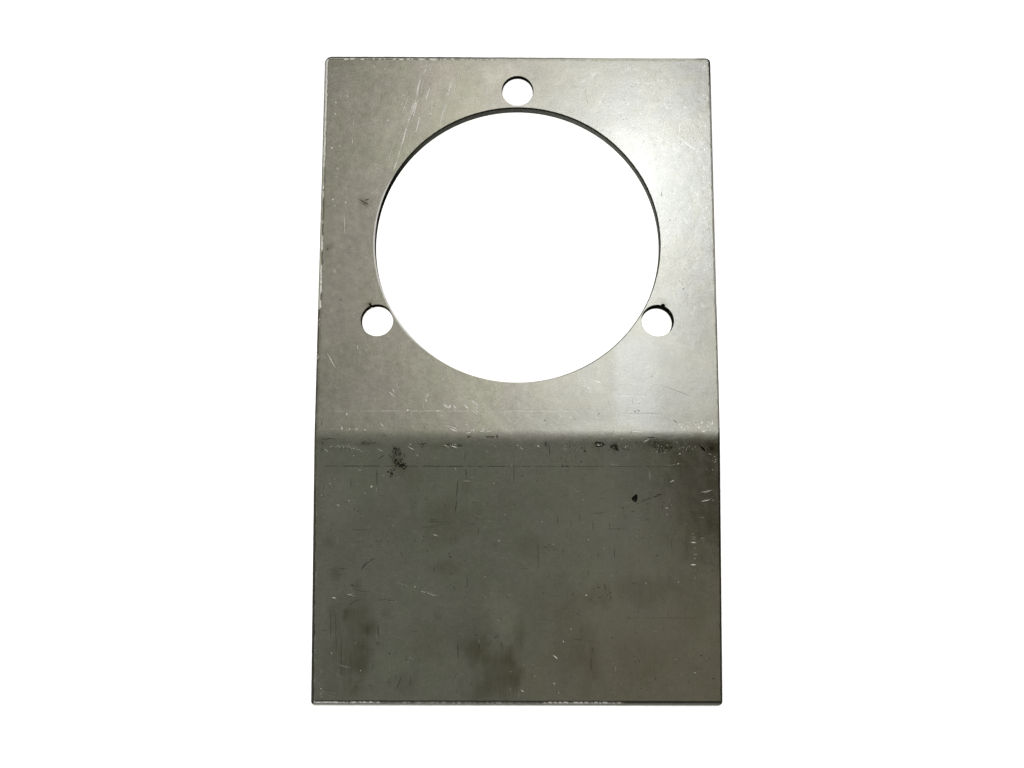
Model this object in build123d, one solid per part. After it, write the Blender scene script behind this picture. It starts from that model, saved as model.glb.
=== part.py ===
from build123d import *
import math
import os

# Motor mounting bracket: one flat bar of mild steel plate, laser cut and then
# bent once, very slightly, on a press brake.  All lengths in millimetres.
#
# Frame: the bracket lies at rest like a very shallow tent, outside of the bend
# upward, on the lower edges of its two ends.  +Z is up, X runs across the
# width (along the bend line), Y runs along the length, and the leg with the
# pilot hole is towards +Y.  The origin is under the middle of the bounding
# box, at the height of the two resting edges.

# ---- driving dimensions ----------------------------------------------------
plate_width = 127.0        # 5 in bar
plate_thickness = 4.76     # 3/16 in plate
motor_leg = 127.0          # end edge to bend line, over the outside face
blank_leg = 82.55          # end edge to bend line, over the outside face
bend_angle = 6.2           # total change of direction, degrees
bend_inside_r = 45.0       # wide air bend

pilot_d = 91.7             # clearance hole for the motor's pilot boss
pilot_from_end = 63.5      # centred in the square leg
bolt_circle_d = 102.9
bolt_hole_d = 10.3         # 13/32 in, clears a 3/8 in bolt
bolt_angles = (90.0, 210.0, 330.0)   # about the pilot, 90 points to the end edge

corner_r = 1.3             # plate corners, seen square on
outside_edge_r = 0.7       # rolled-over cut edge round the outside face
inside_edge_r = 0.25       # light deburr round the inside face
pilot_outside_chamfer = 0.2
pilot_inside_chamfer = 0.15

# small lead-in marks that the cutting beam left in the walls of two bolt holes:
# (bolt hole angle, direction of the mark from the hole centre, width, depth)
lead_in_marks = (
    (210.0, 113.8, 0.55, 0.95),
    (330.0, 69.6, 1.10, 0.65),
)

# ---- derived geometry ------------------------------------------------------
T = plate_thickness
theta = math.radians(bend_angle)
# slope of each leg such that both end edges touch the same level surface
slope_motor = math.atan2(
    blank_leg * math.sin(theta) - T * (1.0 - math.cos(theta)),
    motor_leg + blank_leg * math.cos(theta) - T * math.sin(theta),
)
slope_blank = theta - slope_motor

u_motor = (math.cos(slope_motor), -math.sin(slope_motor))     # (y, z) along the leg
n_motor = (math.sin(slope_motor), math.cos(slope_motor))      # outside normal
u_blank = (-math.cos(slope_blank), -math.sin(slope_blank))
n_blank = (-math.sin(slope_blank), math.cos(slope_blank))

# apex: where the two outside faces would meet if the bend were sharp.  The last
# term is the little that the deburred resting edge would otherwise stand clear.
apex_z = (
    motor_leg * math.sin(slope_motor)
    + T * math.cos(slope_motor)
    - inside_edge_r * (math.sin(slope_motor) + math.cos(slope_motor) - 1.0)
)
y_plus = motor_leg * math.cos(slope_motor)
y_minus = -blank_leg * math.cos(slope_blank)
apex_y = -(y_plus + y_minus) / 2.0
apex = (apex_y, apex_z)


def at(a, b, ka, c=(0.0, 0.0), kc=0.0):
    """Point a + ka*b + kc*c in the (y, z) plane of the section."""
    return (a[0] + ka * b[0] + kc * c[0], a[1] + ka * b[1] + kc * c[1])


bend_outside_r = bend_inside_r + T
set_back_out = bend_outside_r * math.tan(theta / 2.0)
mid_dir = (
    math.sin((slope_motor - slope_blank) / 2.0),
    math.cos((slope_motor - slope_blank) / 2.0),
)
bend_centre = at(apex, mid_dir, -bend_outside_r / math.cos(theta / 2.0))

out_end_motor = at(apex, u_motor, motor_leg)
out_tan_motor = at(apex, u_motor, set_back_out)
out_mid = at(bend_centre, mid_dir, bend_outside_r)
out_tan_blank = at(apex, u_blank, set_back_out)
out_end_blank = at(apex, u_blank, blank_leg)
in_end_blank = at(out_end_blank, n_blank, -T)
in_tan_blank = at(out_tan_blank, n_blank, -T)
in_mid = at(bend_centre, mid_dir, bend_inside_r)
in_tan_motor = at(out_tan_motor, n_motor, -T)
in_end_motor = at(out_end_motor, n_motor, -T)

# ---- bent bar --------------------------------------------------------------
with BuildPart() as bar:
    with BuildSketch(Plane.YZ) as section:
        with BuildLine():
            Line(out_end_motor, out_tan_motor)
            ThreePointArc(out_tan_motor, out_mid, out_tan_blank)
            Line(out_tan_blank, out_end_blank)
            Line(out_end_blank, in_end_blank)
            Line(in_end_blank, in_tan_blank)
            ThreePointArc(in_tan_blank, in_mid, in_tan_motor)
            Line(in_tan_motor, in_end_motor)
            Line(in_end_motor, out_end_motor)
        make_face()
    extrude(amount=plate_width / 2.0, both=True)
plate = bar.part

# the four corners of the outline
short_edges = [
    e
    for e in plate.edges()
    if abs(e.length - T) < 1e-4 and abs(abs(e.center().X) - plate_width / 2.0) < 1e-4
]
plate = fillet(short_edges, corner_r)


def side_edges(solid, outside):
    """Boundary edges of the outside (or inside) face of the bent bar."""
    found = []
    for e in solid.edges():
        c = e.center()
        leg = (u_motor, n_motor) if c.Y > apex_y else (u_blank, n_blank)
        depth = (c.Y - apex[0]) * leg[1][0] + (c.Z - apex[1]) * leg[1][1]
        on_face = abs(depth) < 0.35 if outside else abs(depth + T) < 0.35
        # the two lines across the bend stay as they are: they are tangent
        across = abs(e.length - plate_width) < 1e-3 and abs(c.Y - apex_y) < set_back_out + 1.0
        short = abs(e.length - T) < 0.05
        if on_face and not across and not short:
            found.append(e)
    return found


plate = fillet(side_edges(plate, True), outside_edge_r)
plate = fillet(side_edges(plate, False), inside_edge_r)

# ---- holes, square to the motor leg ----------------------------------------
pilot_centre = at(apex, u_motor, motor_leg - pilot_from_end)
leg_plane = Plane(
    origin=(0.0, pilot_centre[0], pilot_centre[1]),
    x_dir=(1.0, 0.0, 0.0),
    z_dir=(0.0, n_motor[0], n_motor[1]),
)
through = 3.0 * T


def drill(diameter, x=0.0, y=0.0):
    """Cylinder through the plate at (x, y) on the motor leg."""
    return leg_plane * Pos(x, y, 0.0) * Cylinder(diameter / 2.0, through)


plate = plate - drill(pilot_d)

# fine edge break on both rims of the pilot hole
rim_out = leg_plane * Pos(0, 0, -pilot_outside_chamfer / 2.0) * Cone(
    pilot_d / 2.0, pilot_d / 2.0 + pilot_outside_chamfer, pilot_outside_chamfer
)
rim_in = leg_plane * Pos(0, 0, -T + pilot_inside_chamfer / 2.0) * Cone(
    pilot_d / 2.0 + pilot_inside_chamfer, pilot_d / 2.0, pilot_inside_chamfer
)
plate = plate - rim_out - rim_in

bolt_centres = {}
for a in bolt_angles:
    bx = bolt_circle_d / 2.0 * math.cos(math.radians(a))
    by = bolt_circle_d / 2.0 * math.sin(math.radians(a))
    bolt_centres[a] = (bx, by)
    plate = plate - drill(bolt_hole_d, bx, by)

for hole_angle, direction, mark_w, mark_d in lead_in_marks:
    bx, by = bolt_centres[hole_angle]
    reach = bolt_hole_d / 2.0 + mark_d
    notch = Box(reach, mark_w, through, align=(Align.MIN, Align.CENTER, Align.CENTER))
    notch = fillet(
        [e for e in notch.edges().filter_by(Axis.Z) if e.center().X > reach / 2.0],
        mark_w * 0.35,
    )
    plate = plate - leg_plane * Pos(bx, by, 0.0) * Rot(0, 0, direction) * notch

# ---- output ----------------------------------------------------------------
solids = plate.solids()
assert len(solids) == 1, "the bracket must be one solid"
bracket = solids[0]
bracket.label = "bracket_plate"
bracket.color = Color(0.55, 0.55, 0.52)

os.makedirs("parts", exist_ok=True)
export_step(bracket, "parts/bracket_plate.step")

bb = bracket.bounding_box()
print("slopes deg", math.degrees(slope_motor), math.degrees(slope_blank))
print("apex", apex, "pilot centre", pilot_centre, "normal", n_motor)
print("box", bb.min, bb.max, "volume", bracket.volume, "mass g", bracket.volume * 7.85e-3)
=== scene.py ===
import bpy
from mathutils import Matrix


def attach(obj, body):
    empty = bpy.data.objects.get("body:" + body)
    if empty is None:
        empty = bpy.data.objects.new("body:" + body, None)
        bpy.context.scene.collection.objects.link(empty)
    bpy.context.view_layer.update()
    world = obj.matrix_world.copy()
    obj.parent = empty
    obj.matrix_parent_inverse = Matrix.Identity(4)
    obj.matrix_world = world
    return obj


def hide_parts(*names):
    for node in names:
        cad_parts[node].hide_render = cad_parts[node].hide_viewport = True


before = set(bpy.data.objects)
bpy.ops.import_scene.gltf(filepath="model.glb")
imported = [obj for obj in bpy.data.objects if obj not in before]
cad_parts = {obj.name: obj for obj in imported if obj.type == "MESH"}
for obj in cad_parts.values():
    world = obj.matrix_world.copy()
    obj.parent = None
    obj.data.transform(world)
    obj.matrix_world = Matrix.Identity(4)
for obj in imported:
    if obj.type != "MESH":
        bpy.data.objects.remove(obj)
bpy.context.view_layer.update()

import math

import bpy
import numpy as np
from mathutils import Matrix, Vector
from mathutils.geometry import delaunay_2d_cdt

# Motor mounting bracket, seen as the real plate looks: mill finish, scratches, laser-cut walls, rolled-over edges.
# Lengths below are millimetres on the unfolded plate: x across the width, s along the outside face (0 at the bend,
# + towards the pilot end), d the depth below the outside face.  place() folds them into the row frame.

# ---- the plate, as the CAD has it -------------------------------------------
THICK = 4.76
HALF_W, S_END, S_START = 63.5, 127.0, -82.55
CORNER_R = {"TR": 1.9, "TL": 2.3, "BL": 1.4, "BR": 1.6}  # worn corner radii, mm
SLOPE_M, SLOPE_B = math.radians(2.4401875029), math.radians(3.7598124971)
APEX = np.array([0.0, -22.2562548655, 10.1524731908])
U_M = np.array([0.0, math.cos(SLOPE_M), -math.sin(SLOPE_M)])
N_M = np.array([0.0, math.sin(SLOPE_M), math.cos(SLOPE_M)])
U_B = np.array([0.0, -math.cos(SLOPE_B), -math.sin(SLOPE_B)])
N_B = np.array([0.0, -math.sin(SLOPE_B), math.cos(SLOPE_B)])
BEND_R = 49.76
HALF_BEND = math.radians(3.1)
SET_BACK = BEND_R * math.tan(HALF_BEND)
MID_ANGLE = (SLOPE_M - SLOPE_B) / 2.0
MID = np.array([0.0, math.sin(MID_ANGLE), math.cos(MID_ANGLE)])
BEND_C = APEX - MID * BEND_R / math.cos(HALF_BEND)
PILOT_S, PILOT_R = 63.5, 45.85
BOLT_PCR, BOLT_R = 51.45, 5.15
BOLTS = [
    (BOLT_PCR * math.cos(math.radians(a)), PILOT_S + BOLT_PCR * math.sin(math.radians(a)), notch)
    for a, notch in ((90.0, None), (210.0, (113.8, 0.55, 0.95)), (330.0, (69.6, 1.10, 0.65)))
]

MARKS = (
    (0.78,0.33,(-29.96,124.45),(-30.26,122.28),(-30.93,120.33)),
    (0.69,0.21,(-31.54,119.84),(-33.14,112.19),(-35.02,105.96),(-36.72,99.77)),
    (0.69,0.21,(-36.72,99.77),(-38.53,92.93),(-40.37,86.63),(-42.1,82.05)),
    (0.34,0.18,(-33.92,111.49),(-34.85,108.04),(-35.77,104.24)),
    (0.28,0.18,(-32.2,105.28),(-32.8,102.18),(-33.41,99.23)),
    (0.34,0.18,(-23.29,110.48),(-24.24,107.02),(-25.18,103.23)),
    (1,0.45,(-31.83,119.49),(-32.58,116.35),(-33.06,113.23)),
    (1,0.41,(-33.33,111.63),(-34.11,108.87),(-34.5,106.59)),
    (1,0.41,(-32.74,111.57),(-33.43,109.25),(-33.91,106.52)),
    (1,0.62,(-34.12,109.18)),
    (1,0.7,(-33.92,106.76)),
    (1,0.49,(-33.22,110.46)),
    (0.56,0.25,(-35.15,106.1),(-35.76,103.62)),
    (0.67,0.32,(-35.66,105.14)),
    (0.56,0.32,(-35.89,103.38)),
    (1,0.41,(-36.3,102.31),(-36.93,98.91),(-37.89,95.69)),
    (1,0.66,(-36.32,101.56)),
    (0.9,0.53,(-37.43,97.24)),
    (0.9,0.41,(-38.26,94.29),(-38.68,92.65)),
    (0.9,0.49,(-38.41,93.75)),
    (0.95,0.41,(-39.2,90.54),(-40.03,87.95)),
    (0.9,0.49,(-39.45,90)),
    (0.67,0.35,(-39.97,88.19)),
    (0.9,0.41,(-40.9,85.64),(-41.93,83.37),(-42.48,81.51)),
    (1,0.41,(-28.77,116.08),(-29.4,114),(-30.11,111.09)),
    (1,0.41,(-31.92,106.38),(-32.43,103.63),(-33.14,100.74)),
    (1,0.58,(-33.11,101.01)),
    (0.67,0.46,(-34.01,99.78)),
    (0.45,0.39,(-34.28,98.27)),
    (1,0.41,(-21.22,119.37),(-22.05,116.65),(-22.86,113.28)),
    (0.9,0.49,(-22.8,113.63)),
    (0.95,0.41,(-23.39,110.68),(-24.4,107.09),(-25.41,103.09)),
    (0.78,0.53,(-27.66,111.02)),
    (0.9,0.62,(-28.03,109.29)),
    (1,0.62,(-28.39,106.91)),
    (0.45,0.25,(-28.01,110.78),(-28.12,108.39)),
    (0.56,0.25,(-26.31,113.24),(-26.55,109.22)),
    (0.56,0.39,(-34.86,95.94)),
    (0.56,0.39,(-34.09,96.15)),
    (0.56,0.39,(-33.25,96.56)),
    (0.56,0.39,(-32.02,97.21)),
    (0.56,0.39,(-30.25,104.25)),
    (0.56,0.39,(-29.1,103.08)),
    (0.56,0.39,(-27.48,104.6)),
    (0.56,0.39,(-26.02,105.81)),
    (0.56,0.39,(-29.4,101.5)),
    (0.56,0.39,(-31.33,99.1)),
    (0.34,0.21,(-30.52,119.49),(-31.3,116.7),(-31.8,114.27)),
    (0.34,0.21,(-35.58,113.05),(-36.9,109.21),(-37.72,107.2)),
    (0.28,0.21,(-39.35,99.42),(-41.02,93.95),(-41.88,91.32)),
    (0.34,0.21,(-20.21,117.25),(-20.97,114.22)),
    (0.28,0.21,(-19.14,121.95),(-19.77,119.16),(-20.15,117.42)),
    (0.9,0.58,(-28.4,107.18)),
    (0.78,0.53,(-37.33,113.53)),
    (0.78,0.58,(-37.83,110.35)),
    (0.78,0.53,(-38.52,106.37)),
    (0.84,0.58,(-42.25,104.78)),
    (0.9,0.62,(-59.46,110.79)),
    (0.78,0.53,(-55.68,113.01)),
    (0.78,0.53,(-59.56,106.92)),
    (0.67,0.46,(-43.49,122.5)),
    (0.67,0.43,(-47.09,123.3)),
    (0.9,0.62,(-60.37,95.31)),
    (0.67,0.43,(-57.78,95.9)),
    (0.84,0.58,(-58.35,88.26)),
    (0.78,0.58,(-55.45,76.8)),
    (0.9,0.62,(-59.57,77.77)),
    (0.78,0.53,(-58.78,75.65)),
    (0.67,0.28,(-53.49,104.55),(-53.48,102.83)),
    (0.62,0.28,(-53.73,98.03),(-53.73,96.66)),
    (0.78,0.37,(-62.21,88.32),(-61.1,88.19)),
    (-0.75,0.28,(-51.21,77.99),(-50.03,77.15),(-48.98,76.51),(-47.84,75.87)),
    (-0.7,0.25,(-49.14,77.82),(-48.48,77.55),(-47.85,77.96)),
    (-0.6,0.25,(-49.76,76.98),(-48.93,75.8)),
    (-0.5,0.22,(-50.67,77.04),(-49.55,76.24)),
    (-0.9,0.41,(-51.27,77.99),(-49.76,76.98),(-47.87,75.97)),
    (-0.85,0.38,(-49.64,77.32),(-48.81,77.72),(-47.85,78.06)),
    (-0.7,0.32,(-50.4,76.44),(-49.42,75.97),(-48.64,75.77)),
    (-0.65,0.28,(-54.69,83.05),(-54.63,81.9),(-54.01,81.76)),
    (-0.5,0.25,(-42.85,114.11),(-42.03,114.11)),
    (-0.45,0.22,(-16.68,123.77),(-15.69,122.55)),
    (-0.35,0.19,(-29.48,117.93),(-27.56,116.33)),
    (-0.35,0.19,(-30.41,115.84),(-31.26,113.41),(-31.89,111.33)),
    (-0.25,0.19,(-36.76,104.41),(-37.68,100.8),(-38.48,98.06)),
    (-0.7,0.82,(-61.45,61.76)),
    (-0.6,0.63,(-60.92,61.03)),
    (-0.45,0.44,(-59.56,63.1)),
    (-0.4,0.38,(-58.07,59.98)),
    (0.78,0.28,(54.37,97.19),(56.3,95.83),(58.22,94.47)),
    (0.78,0.53,(60.83,94.81)),
    (0.56,0.43,(59.78,105.93)),
    (0.56,0.39,(43.47,107.62)),
    (0.67,0.5,(40.25,107.03)),
    (0.56,0.43,(33.19,107.05)),
    (0.56,0.39,(42.11,100.19)),
    (0.5,0.39,(45.64,98.75)),
    (0.67,0.46,(57.21,103.31)),
    (0.39,0.32,(26.46,121.41)),
    (0.39,0.21,(28.82,114.73),(26.68,110.22)),
    (0.34,0.21,(49.06,109.22),(47.45,101.64),(46.37,96.15)),
    (0.34,0.21,(43.34,109.56),(42.81,107.14),(41.8,105.76)),
    (0.67,0.35,(60.03,125.1),(61.83,123.29)),
    (0.5,0.25,(52.77,98.56),(54.37,97.19)),
    (0.74,0.22,(-60.23,27.34),(-59.3,25.66),(-58.44,24.11),(-57.26,22.31)),
    (0.95,0.33,(-59.37,25.85),(-58.57,24.37)),
    (0.5,0.21,(-62.23,29.73),(-61.08,28.11)),
    (0.67,0.46,(-40.89,32.68)),
    (0.5,0.39,(-54.91,59.52)),
    (0.62,0.43,(-48.54,58.6)),
    (0.5,0.39,(-49.43,61.19)),
    (0.56,0.39,(-42.95,58.08)),
    (0.45,0.35,(-53.11,73.68)),
    (0.56,0.28,(-42.89,65.46),(-42.92,61.4)),
    (0.67,0.39,(-42.51,56.72)),
    (0.45,0.25,(-42.66,70.07),(-42.65,67.77)),
    (0.62,0.32,(-42.81,54.24),(-42.82,52.92)),
    (0.56,0.35,(-42.49,50.61)),
    (0.34,0.21,(-55.59,72.13),(-55.49,66.24)),
    (0.45,0.35,(-49.56,49.21)),
    (0.39,0.32,(-58.64,54.8),(-58.16,53.35)),
    (-0.4,0.44,(-49.88,47.93)),
    (-0.55,0.54,(-56.4,44.4)),
    (-0.35,0.38,(-52.25,38.52)),
    (-0.4,0.44,(-47.19,52.25)),
    (-0.25,0.22,(-47.51,36.58),(-44.43,35.15),(-41.55,33.85)),
    (1,0.45,(-41.44,33.27),(-40.63,32.36)),
    (0.5,0.35,(52.93,34.67)),
    (0.45,0.32,(55.09,40.54)),
    (0.39,0.28,(58.43,44.21),(59.33,41.92)),
    (0.45,0.32,(48.92,27.59)),
    (-0.6,0.51,(53.03,48.21)),
    (-0.5,0.38,(42.46,19.84)),
    (-0.6,0.44,(25.65,7.77)),
    (-0.6,0.47,(36.97,8.55)),
    (-0.6,0.47,(38.26,8.77)),
    (0.9,0.32,(24.05,18.34),(25.44,18.05),(26.79,17.64)),
    (0.78,0.28,(21.8,16.41),(22.99,15.74)),
    (0.45,0.21,(29.64,13.48),(36.25,13.55),(42.86,13.47)),
    (-0.3,0.19,(45.07,17.15),(49.82,15.3),(54.88,13.36)),
    (-0.75,0.32,(48.79,6.09),(49.5,5.42),(50.11,4.73)),
    (-0.6,0.28,(48.95,2.7),(49.58,3.17)),
    (1,0.35,(57.2,2.14),(58.02,2.27),(58.91,2.65)),
    (0.9,0.32,(57.73,5.76),(57.67,4.74)),
    (0.84,0.32,(56.9,3.85),(56.91,3.03)),
    (0.9,0.32,(61.18,5.76),(61.18,4.56)),
    (0.9,0.35,(62.19,4.75),(62.22,3.35)),
    (0.9,0.57,(51.47,3.65)),
    (0.78,0.46,(52.21,2.96)),
    (0.67,0.43,(50.93,4.54)),
    (0.56,0.39,(53.24,4.1)),
    (-0.35,0.22,(33.03,7.97),(39,8.04),(45.59,7.96)),
    (-0.5,0.22,(30.53,2.95),(29.76,1.84),(28.81,0.89)),
    (-0.5,0.22,(35.26,1.09),(35.97,2.61)),
    (0.78,0.28,(35.62,2.29),(37.47,2.3),(39.35,2.11)),
    (0.58,0.3,(-40.44,14.8),(-39.45,13.93),(-38.43,12.98)),
    (1,0.45,(-28.31,14.08),(-27.95,13.19)),
    (1,0.45,(-28.86,12.45),(-28.5,11.69),(-28.28,11.53)),
    (1,0.5,(-23.24,10.99),(-22.13,10.13),(-21.21,9.34)),
    (1,0.45,(-21.18,9.37),(-20.94,10.71)),
    (0.97,0.45,(-19.96,10.27),(-19.23,9.53)),
    (0.64,0.35,(-20.18,9.5),(-18.98,8.8)),
    (1,0.6,(-16.73,10.62),(-15.97,10.02),(-15.27,9.35)),
    (1,0.45,(-14.38,12.28),(-13.91,11.55),(-13.49,10.82)),
    (0.9,0.45,(-13.08,10.09),(-12.38,9.36)),
    (0.9,0.7,(-24.82,8.67)),
    (0.77,0.56,(-53.47,7.76)),
    (0.58,0.35,(-14.07,8.49),(-12.37,7.6)),
    (0.52,0.3,(-8.54,8.12),(-8.16,6.59)),
    (0.64,0.3,(-23.7,4.22),(-22.13,4.19),(-20.81,3.88),(-19.17,3.02),(-17.57,2.04)),
    (1,0.45,(-13.59,2.78),(-13.78,1.89)),
    (1,0.48,(-11.03,3.04),(-10.52,2.31),(-10.08,2.22)),
    (0.77,0.35,(-10.02,2.28),(-8.83,2.57),(-7.77,2.79)),
    (-0.5,0.25,(-9.21,2.41),(-7.58,2.95)),
    (0.45,0.26,(-43.16,5.3),(-42.26,4.25),(-41.3,3.3)),
    (0.64,0.52,(-33.06,5.31)),
    (0.64,0.52,(-50.13,2.91)),
    (0.64,0.35,(-55,3.47),(-54.94,2.36)),
    (0.71,0.39,(-53.55,2.84),(-53.47,2.46)),
    (-0.7,0.28,(-61.7,5.61),(-60.48,5.58),(-59.2,5.62)),
    (-0.65,0.28,(-61.17,5.61),(-61.27,4.6),(-61.31,3.62)),
    (-0.75,0.28,(-61.36,-0.74),(-60.49,-0.37),(-58.49,-0.11),(-56.51,-0.48)),
    (-0.5,0.44,(-29.08,3.42)),
    (-0.5,0.41,(-41.44,0.8)),
    (-0.7,0.41,(8.72,5.7)),
    (0.67,0.46,(16.89,6.83)),
    (0.45,0.39,(-0.81,4.96)),
    (-0.4,0.32,(-12.04,4.94)),
    (-0.35,0.28,(-0.94,5.34)),
    (-0.3,0.28,(-7.81,11.75)),
    (-0.9,0.54,(-15.77,0.47),(-14.58,0.5)),
    (-0.75,0.47,(-10.07,0.51),(-8.19,0.45)),
    (-0.85,0.63,(-6.63,0.51),(-6.13,0.45)),
    (-0.5,0.32,(-7.94,0.57),(-6.82,0.48)),
    (0.7,0.47,(-58.24,-2.65)),
    (0.5,0.38,(-57.43,-2.46)),
    (0.5,0.47,(-56.74,-2.71)),
    (0.7,0.38,(-55.99,-2.33)),
    (0.5,0.47,(-55.48,-2.77)),
    (0.5,0.38,(-54.86,-2.26)),
    (0.7,0.47,(-54.17,-2.58)),
    (0.5,0.38,(-53.61,-2.2)),
    (0.5,0.47,(-53.11,-2.7)),
    (0.7,0.38,(-52.55,-2.26)),
    (0.5,0.47,(-52.17,-2.89)),
    (0.5,0.38,(-51.54,-2.57)),
    (0.7,0.47,(-51.04,-3.2)),
    (0.5,0.38,(-50.48,-2.94)),
    (0.5,0.47,(-49.97,-3.51)),
    (0.7,0.38,(-49.28,-3.63)),
    (0.5,0.47,(-48.65,-4)),
    (0.5,0.38,(-52.97,-3.64)),
    (0.7,0.47,(-51.79,-3.38)),
    (0.5,0.38,(-54.35,-3.14)),
    (0.25,0.19,(-58.42,-2.68),(-55.92,-2.52),(-52.48,-2.57),(-49.97,-3.44),(-48.4,-4.07)),
    (0.6,0.25,(-44.03,-3.18),(-42.9,-3.68),(-41.77,-4.24)),
    (0.6,0.32,(-60.04,-3.59),(-59.03,-4.08)),
    (0.6,0.44,(-52.94,-0.54)),
    (-0.7,0.54,(-48.93,-1.57),(-47.3,-1.56)),
    (-0.6,0.47,(-44.83,-1.43)),
    (-0.5,0.28,(-55.91,-3.33),(-53.1,-3.42),(-51.53,-3.82)),
    (0.75,0.28,(-34.24,-2.48),(-33.21,-3.17),(-31.89,-3.73)),
    (0.6,0.28,(-33.87,-1.76),(-32.96,-2.13)),
    (0.6,0.32,(-31.51,-5.01),(-30.63,-5.54)),
    (-0.85,0.38,(-30.46,-1.75),(-29.34,-1.81),(-28.31,-1.75)),
    (-0.5,0.32,(-29.96,-2.6),(-28.77,-2.72)),
    (0.8,0.28,(-22.95,-1.96),(-21.83,-2.52)),
    (0.85,0.32,(-21.11,-2.11),(-19.51,-2.77),(-18.16,-2.98)),
    (-0.95,0.47,(-18.92,-1.92),(-17.95,-2.2),(-16.82,-2.64)),
    (-0.7,0.32,(-20.7,-2.58),(-19.32,-3.27)),
    (0.7,0.28,(-20.45,-2.21),(-19.89,-1.7)),
    (0.55,0.35,(-11.88,-1.69)),
    (0.6,0.38,(-6.62,-2.31)),
    (0.5,0.25,(-9.93,-3.81),(-8.81,-4.44)),
    (0.7,0.28,(0.82,-2.8),(2.01,-3.54)),
    (0.75,0.28,(-0.12,-1.98),(0.57,-2.48)),
    (0.75,0.35,(6.2,-2.16),(7.08,-2.66)),
    (-0.5,0.28,(8.71,-0.66),(8.8,-2.84)),
    (-0.6,0.28,(9.65,-1.53),(10.21,-3.28)),
    (-0.4,0.28,(3.01,-0.98)),
    (0.6,0.35,(15.15,-2.33)),
    (0.5,0.35,(14.53,-3.15)),
    (-0.5,0.38,(-8.07,0.38)),
    (-0.55,0.28,(-25.56,-5.15)),
    (-0.35,0.28,(-15.87,-4.32),(-15.06,-4.51)),
    (-0.75,0.28,(-43.72,-6.62),(-42.44,-5.93),(-41.2,-5.18)),
    (-0.85,0.51,(-38.37,-3.39)),
    (-0.85,0.44,(-37.27,-3.39)),
    (-0.85,0.51,(-37.79,-5.36)),
    (-0.85,0.89,(-37.96,-6.98)),
    (-0.85,1.14,(-36.17,-8.57)),
    (-0.85,0.54,(-36,-6.61)),
    (-0.85,0.41,(-35.1,-5.54)),
    (-0.85,0.51,(-34.73,-8.88)),
    (-0.85,0.82,(-39.02,-11.1)),
    (-0.85,0.51,(-38.32,-9.67)),
    (-0.85,0.47,(-40.03,-10.48)),
    (-0.85,0.47,(-37.05,-7.61)),
    (-0.85,0.41,(-37.6,-8.79)),
    (-0.85,0.38,(-36.76,-4.8)),
    (-0.9,0.51,(24.04,-1.44),(25.54,-1.31),(27.11,-1.56)),
    (0.9,0.47,(25.48,-2)),
    (-0.8,0.38,(24.29,-2.44),(26.04,-2.56),(27.04,-2.16)),
    (-0.9,0.63,(30.29,-2.18),(31.35,-3.12)),
    (-0.9,0.51,(31.48,-2.02),(30.29,-3.5)),
    (-0.7,0.44,(21,-4.04)),
    (-0.6,0.41,(19.96,-7.42)),
    (-0.45,0.35,(19.15,-3.7)),
    (-0.45,0.35,(21.97,-3.01)),
    (-0.4,0.32,(18.21,-5.02)),
    (-0.8,0.47,(41.56,-0.91)),
    (-0.6,0.35,(42.56,-1.97)),
    (-0.6,0.47,(43.25,-1.16)),
    (-0.8,0.35,(43.74,-2.66)),
    (-0.6,0.47,(44.56,-1.53)),
    (-0.6,0.35,(45.24,-3.34)),
    (-0.8,0.47,(45.69,-2.22)),
    (-0.6,0.35,(46.51,-1.28)),
    (-0.6,0.47,(47.06,-2.78)),
    (-0.8,0.35,(42.92,-3.72)),
    (-0.6,0.47,(44.67,-4.03)),
    (-0.6,0.35,(52.32,-2.65)),
    (-0.8,0.47,(53.25,-3.21)),
    (-0.6,0.35,(54.26,-2.45)),
    (-0.6,0.47,(53.56,-3.89)),
    (0.55,0.35,(42.06,-1.47)),
    (0.55,0.35,(44.12,-2.03)),
    (0.55,0.35,(45.87,-2.84)),
    (0.55,0.35,(46.75,-1.9)),
    (0.55,0.35,(52.81,-3.39)),
    (-0.9,0.35,(56.95,-2.11),(57.94,-3.14),(58.97,-4.13)),
    (-0.7,0.47,(59.88,-2.79),(60.95,-2.79)),
    (0.85,0.32,(39.5,-1.13),(40.44,-0.57),(41.35,-0.1)),
    (0.75,0.44,(50.83,-4.68)),
    (0.8,0.47,(62.35,-6.5)),
    (0.6,0.38,(61.74,-5.63)),
    (0.6,0.38,(62.72,-7.44)),
    (1,0.6,(-45.42,-15.13)),
    (0.6,0.41,(-56.87,-12.79)),
    (0.7,0.44,(-58.32,-14.19)),
    (0.7,0.41,(-49.09,-10)),
    (0.6,0.38,(-49.61,-14.39)),
    (0.7,0.44,(-52.34,-19.47)),
    (0.7,0.41,(-61,-17.74)),
    (0.6,0.41,(-60.74,-21.13)),
    (0.6,0.41,(-59.95,-24.82)),
    (0.7,0.41,(-51.08,-5.57)),
    (0.7,0.44,(-19.29,-9.45)),
    (0.6,0.41,(-7.22,-14.04)),
    (0.6,0.41,(18.82,-16.43)),
    (0.6,0.41,(7.68,-25.95)),
    (0.6,0.41,(-9.93,-42.96)),
    (0.6,0.41,(-9.82,-49.27)),
    (0.75,0.47,(40.07,-44.94)),
    (0.7,0.44,(50.11,-44.43)),
    (0.95,0.54,(21.49,-48.6)),
    (0.6,0.41,(50.18,-7.8)),
    (0.6,0.41,(60.95,-9.75)),
    (0.6,0.41,(61.97,-7)),
    (0.75,0.47,(-57.29,-66.46)),
    (0.6,0.41,(5.09,-69.91)),
    (0.6,0.41,(2.27,-70.03)),
    (0.6,0.41,(-1.84,-72.02)),
    (0.6,0.41,(5.49,-73.57)),
    (0.6,0.41,(-1.95,-77.45)),
    (0.7,0.44,(12.93,-78.46)),
    (0.35,0.38,(-12.84,-55.18)),
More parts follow.
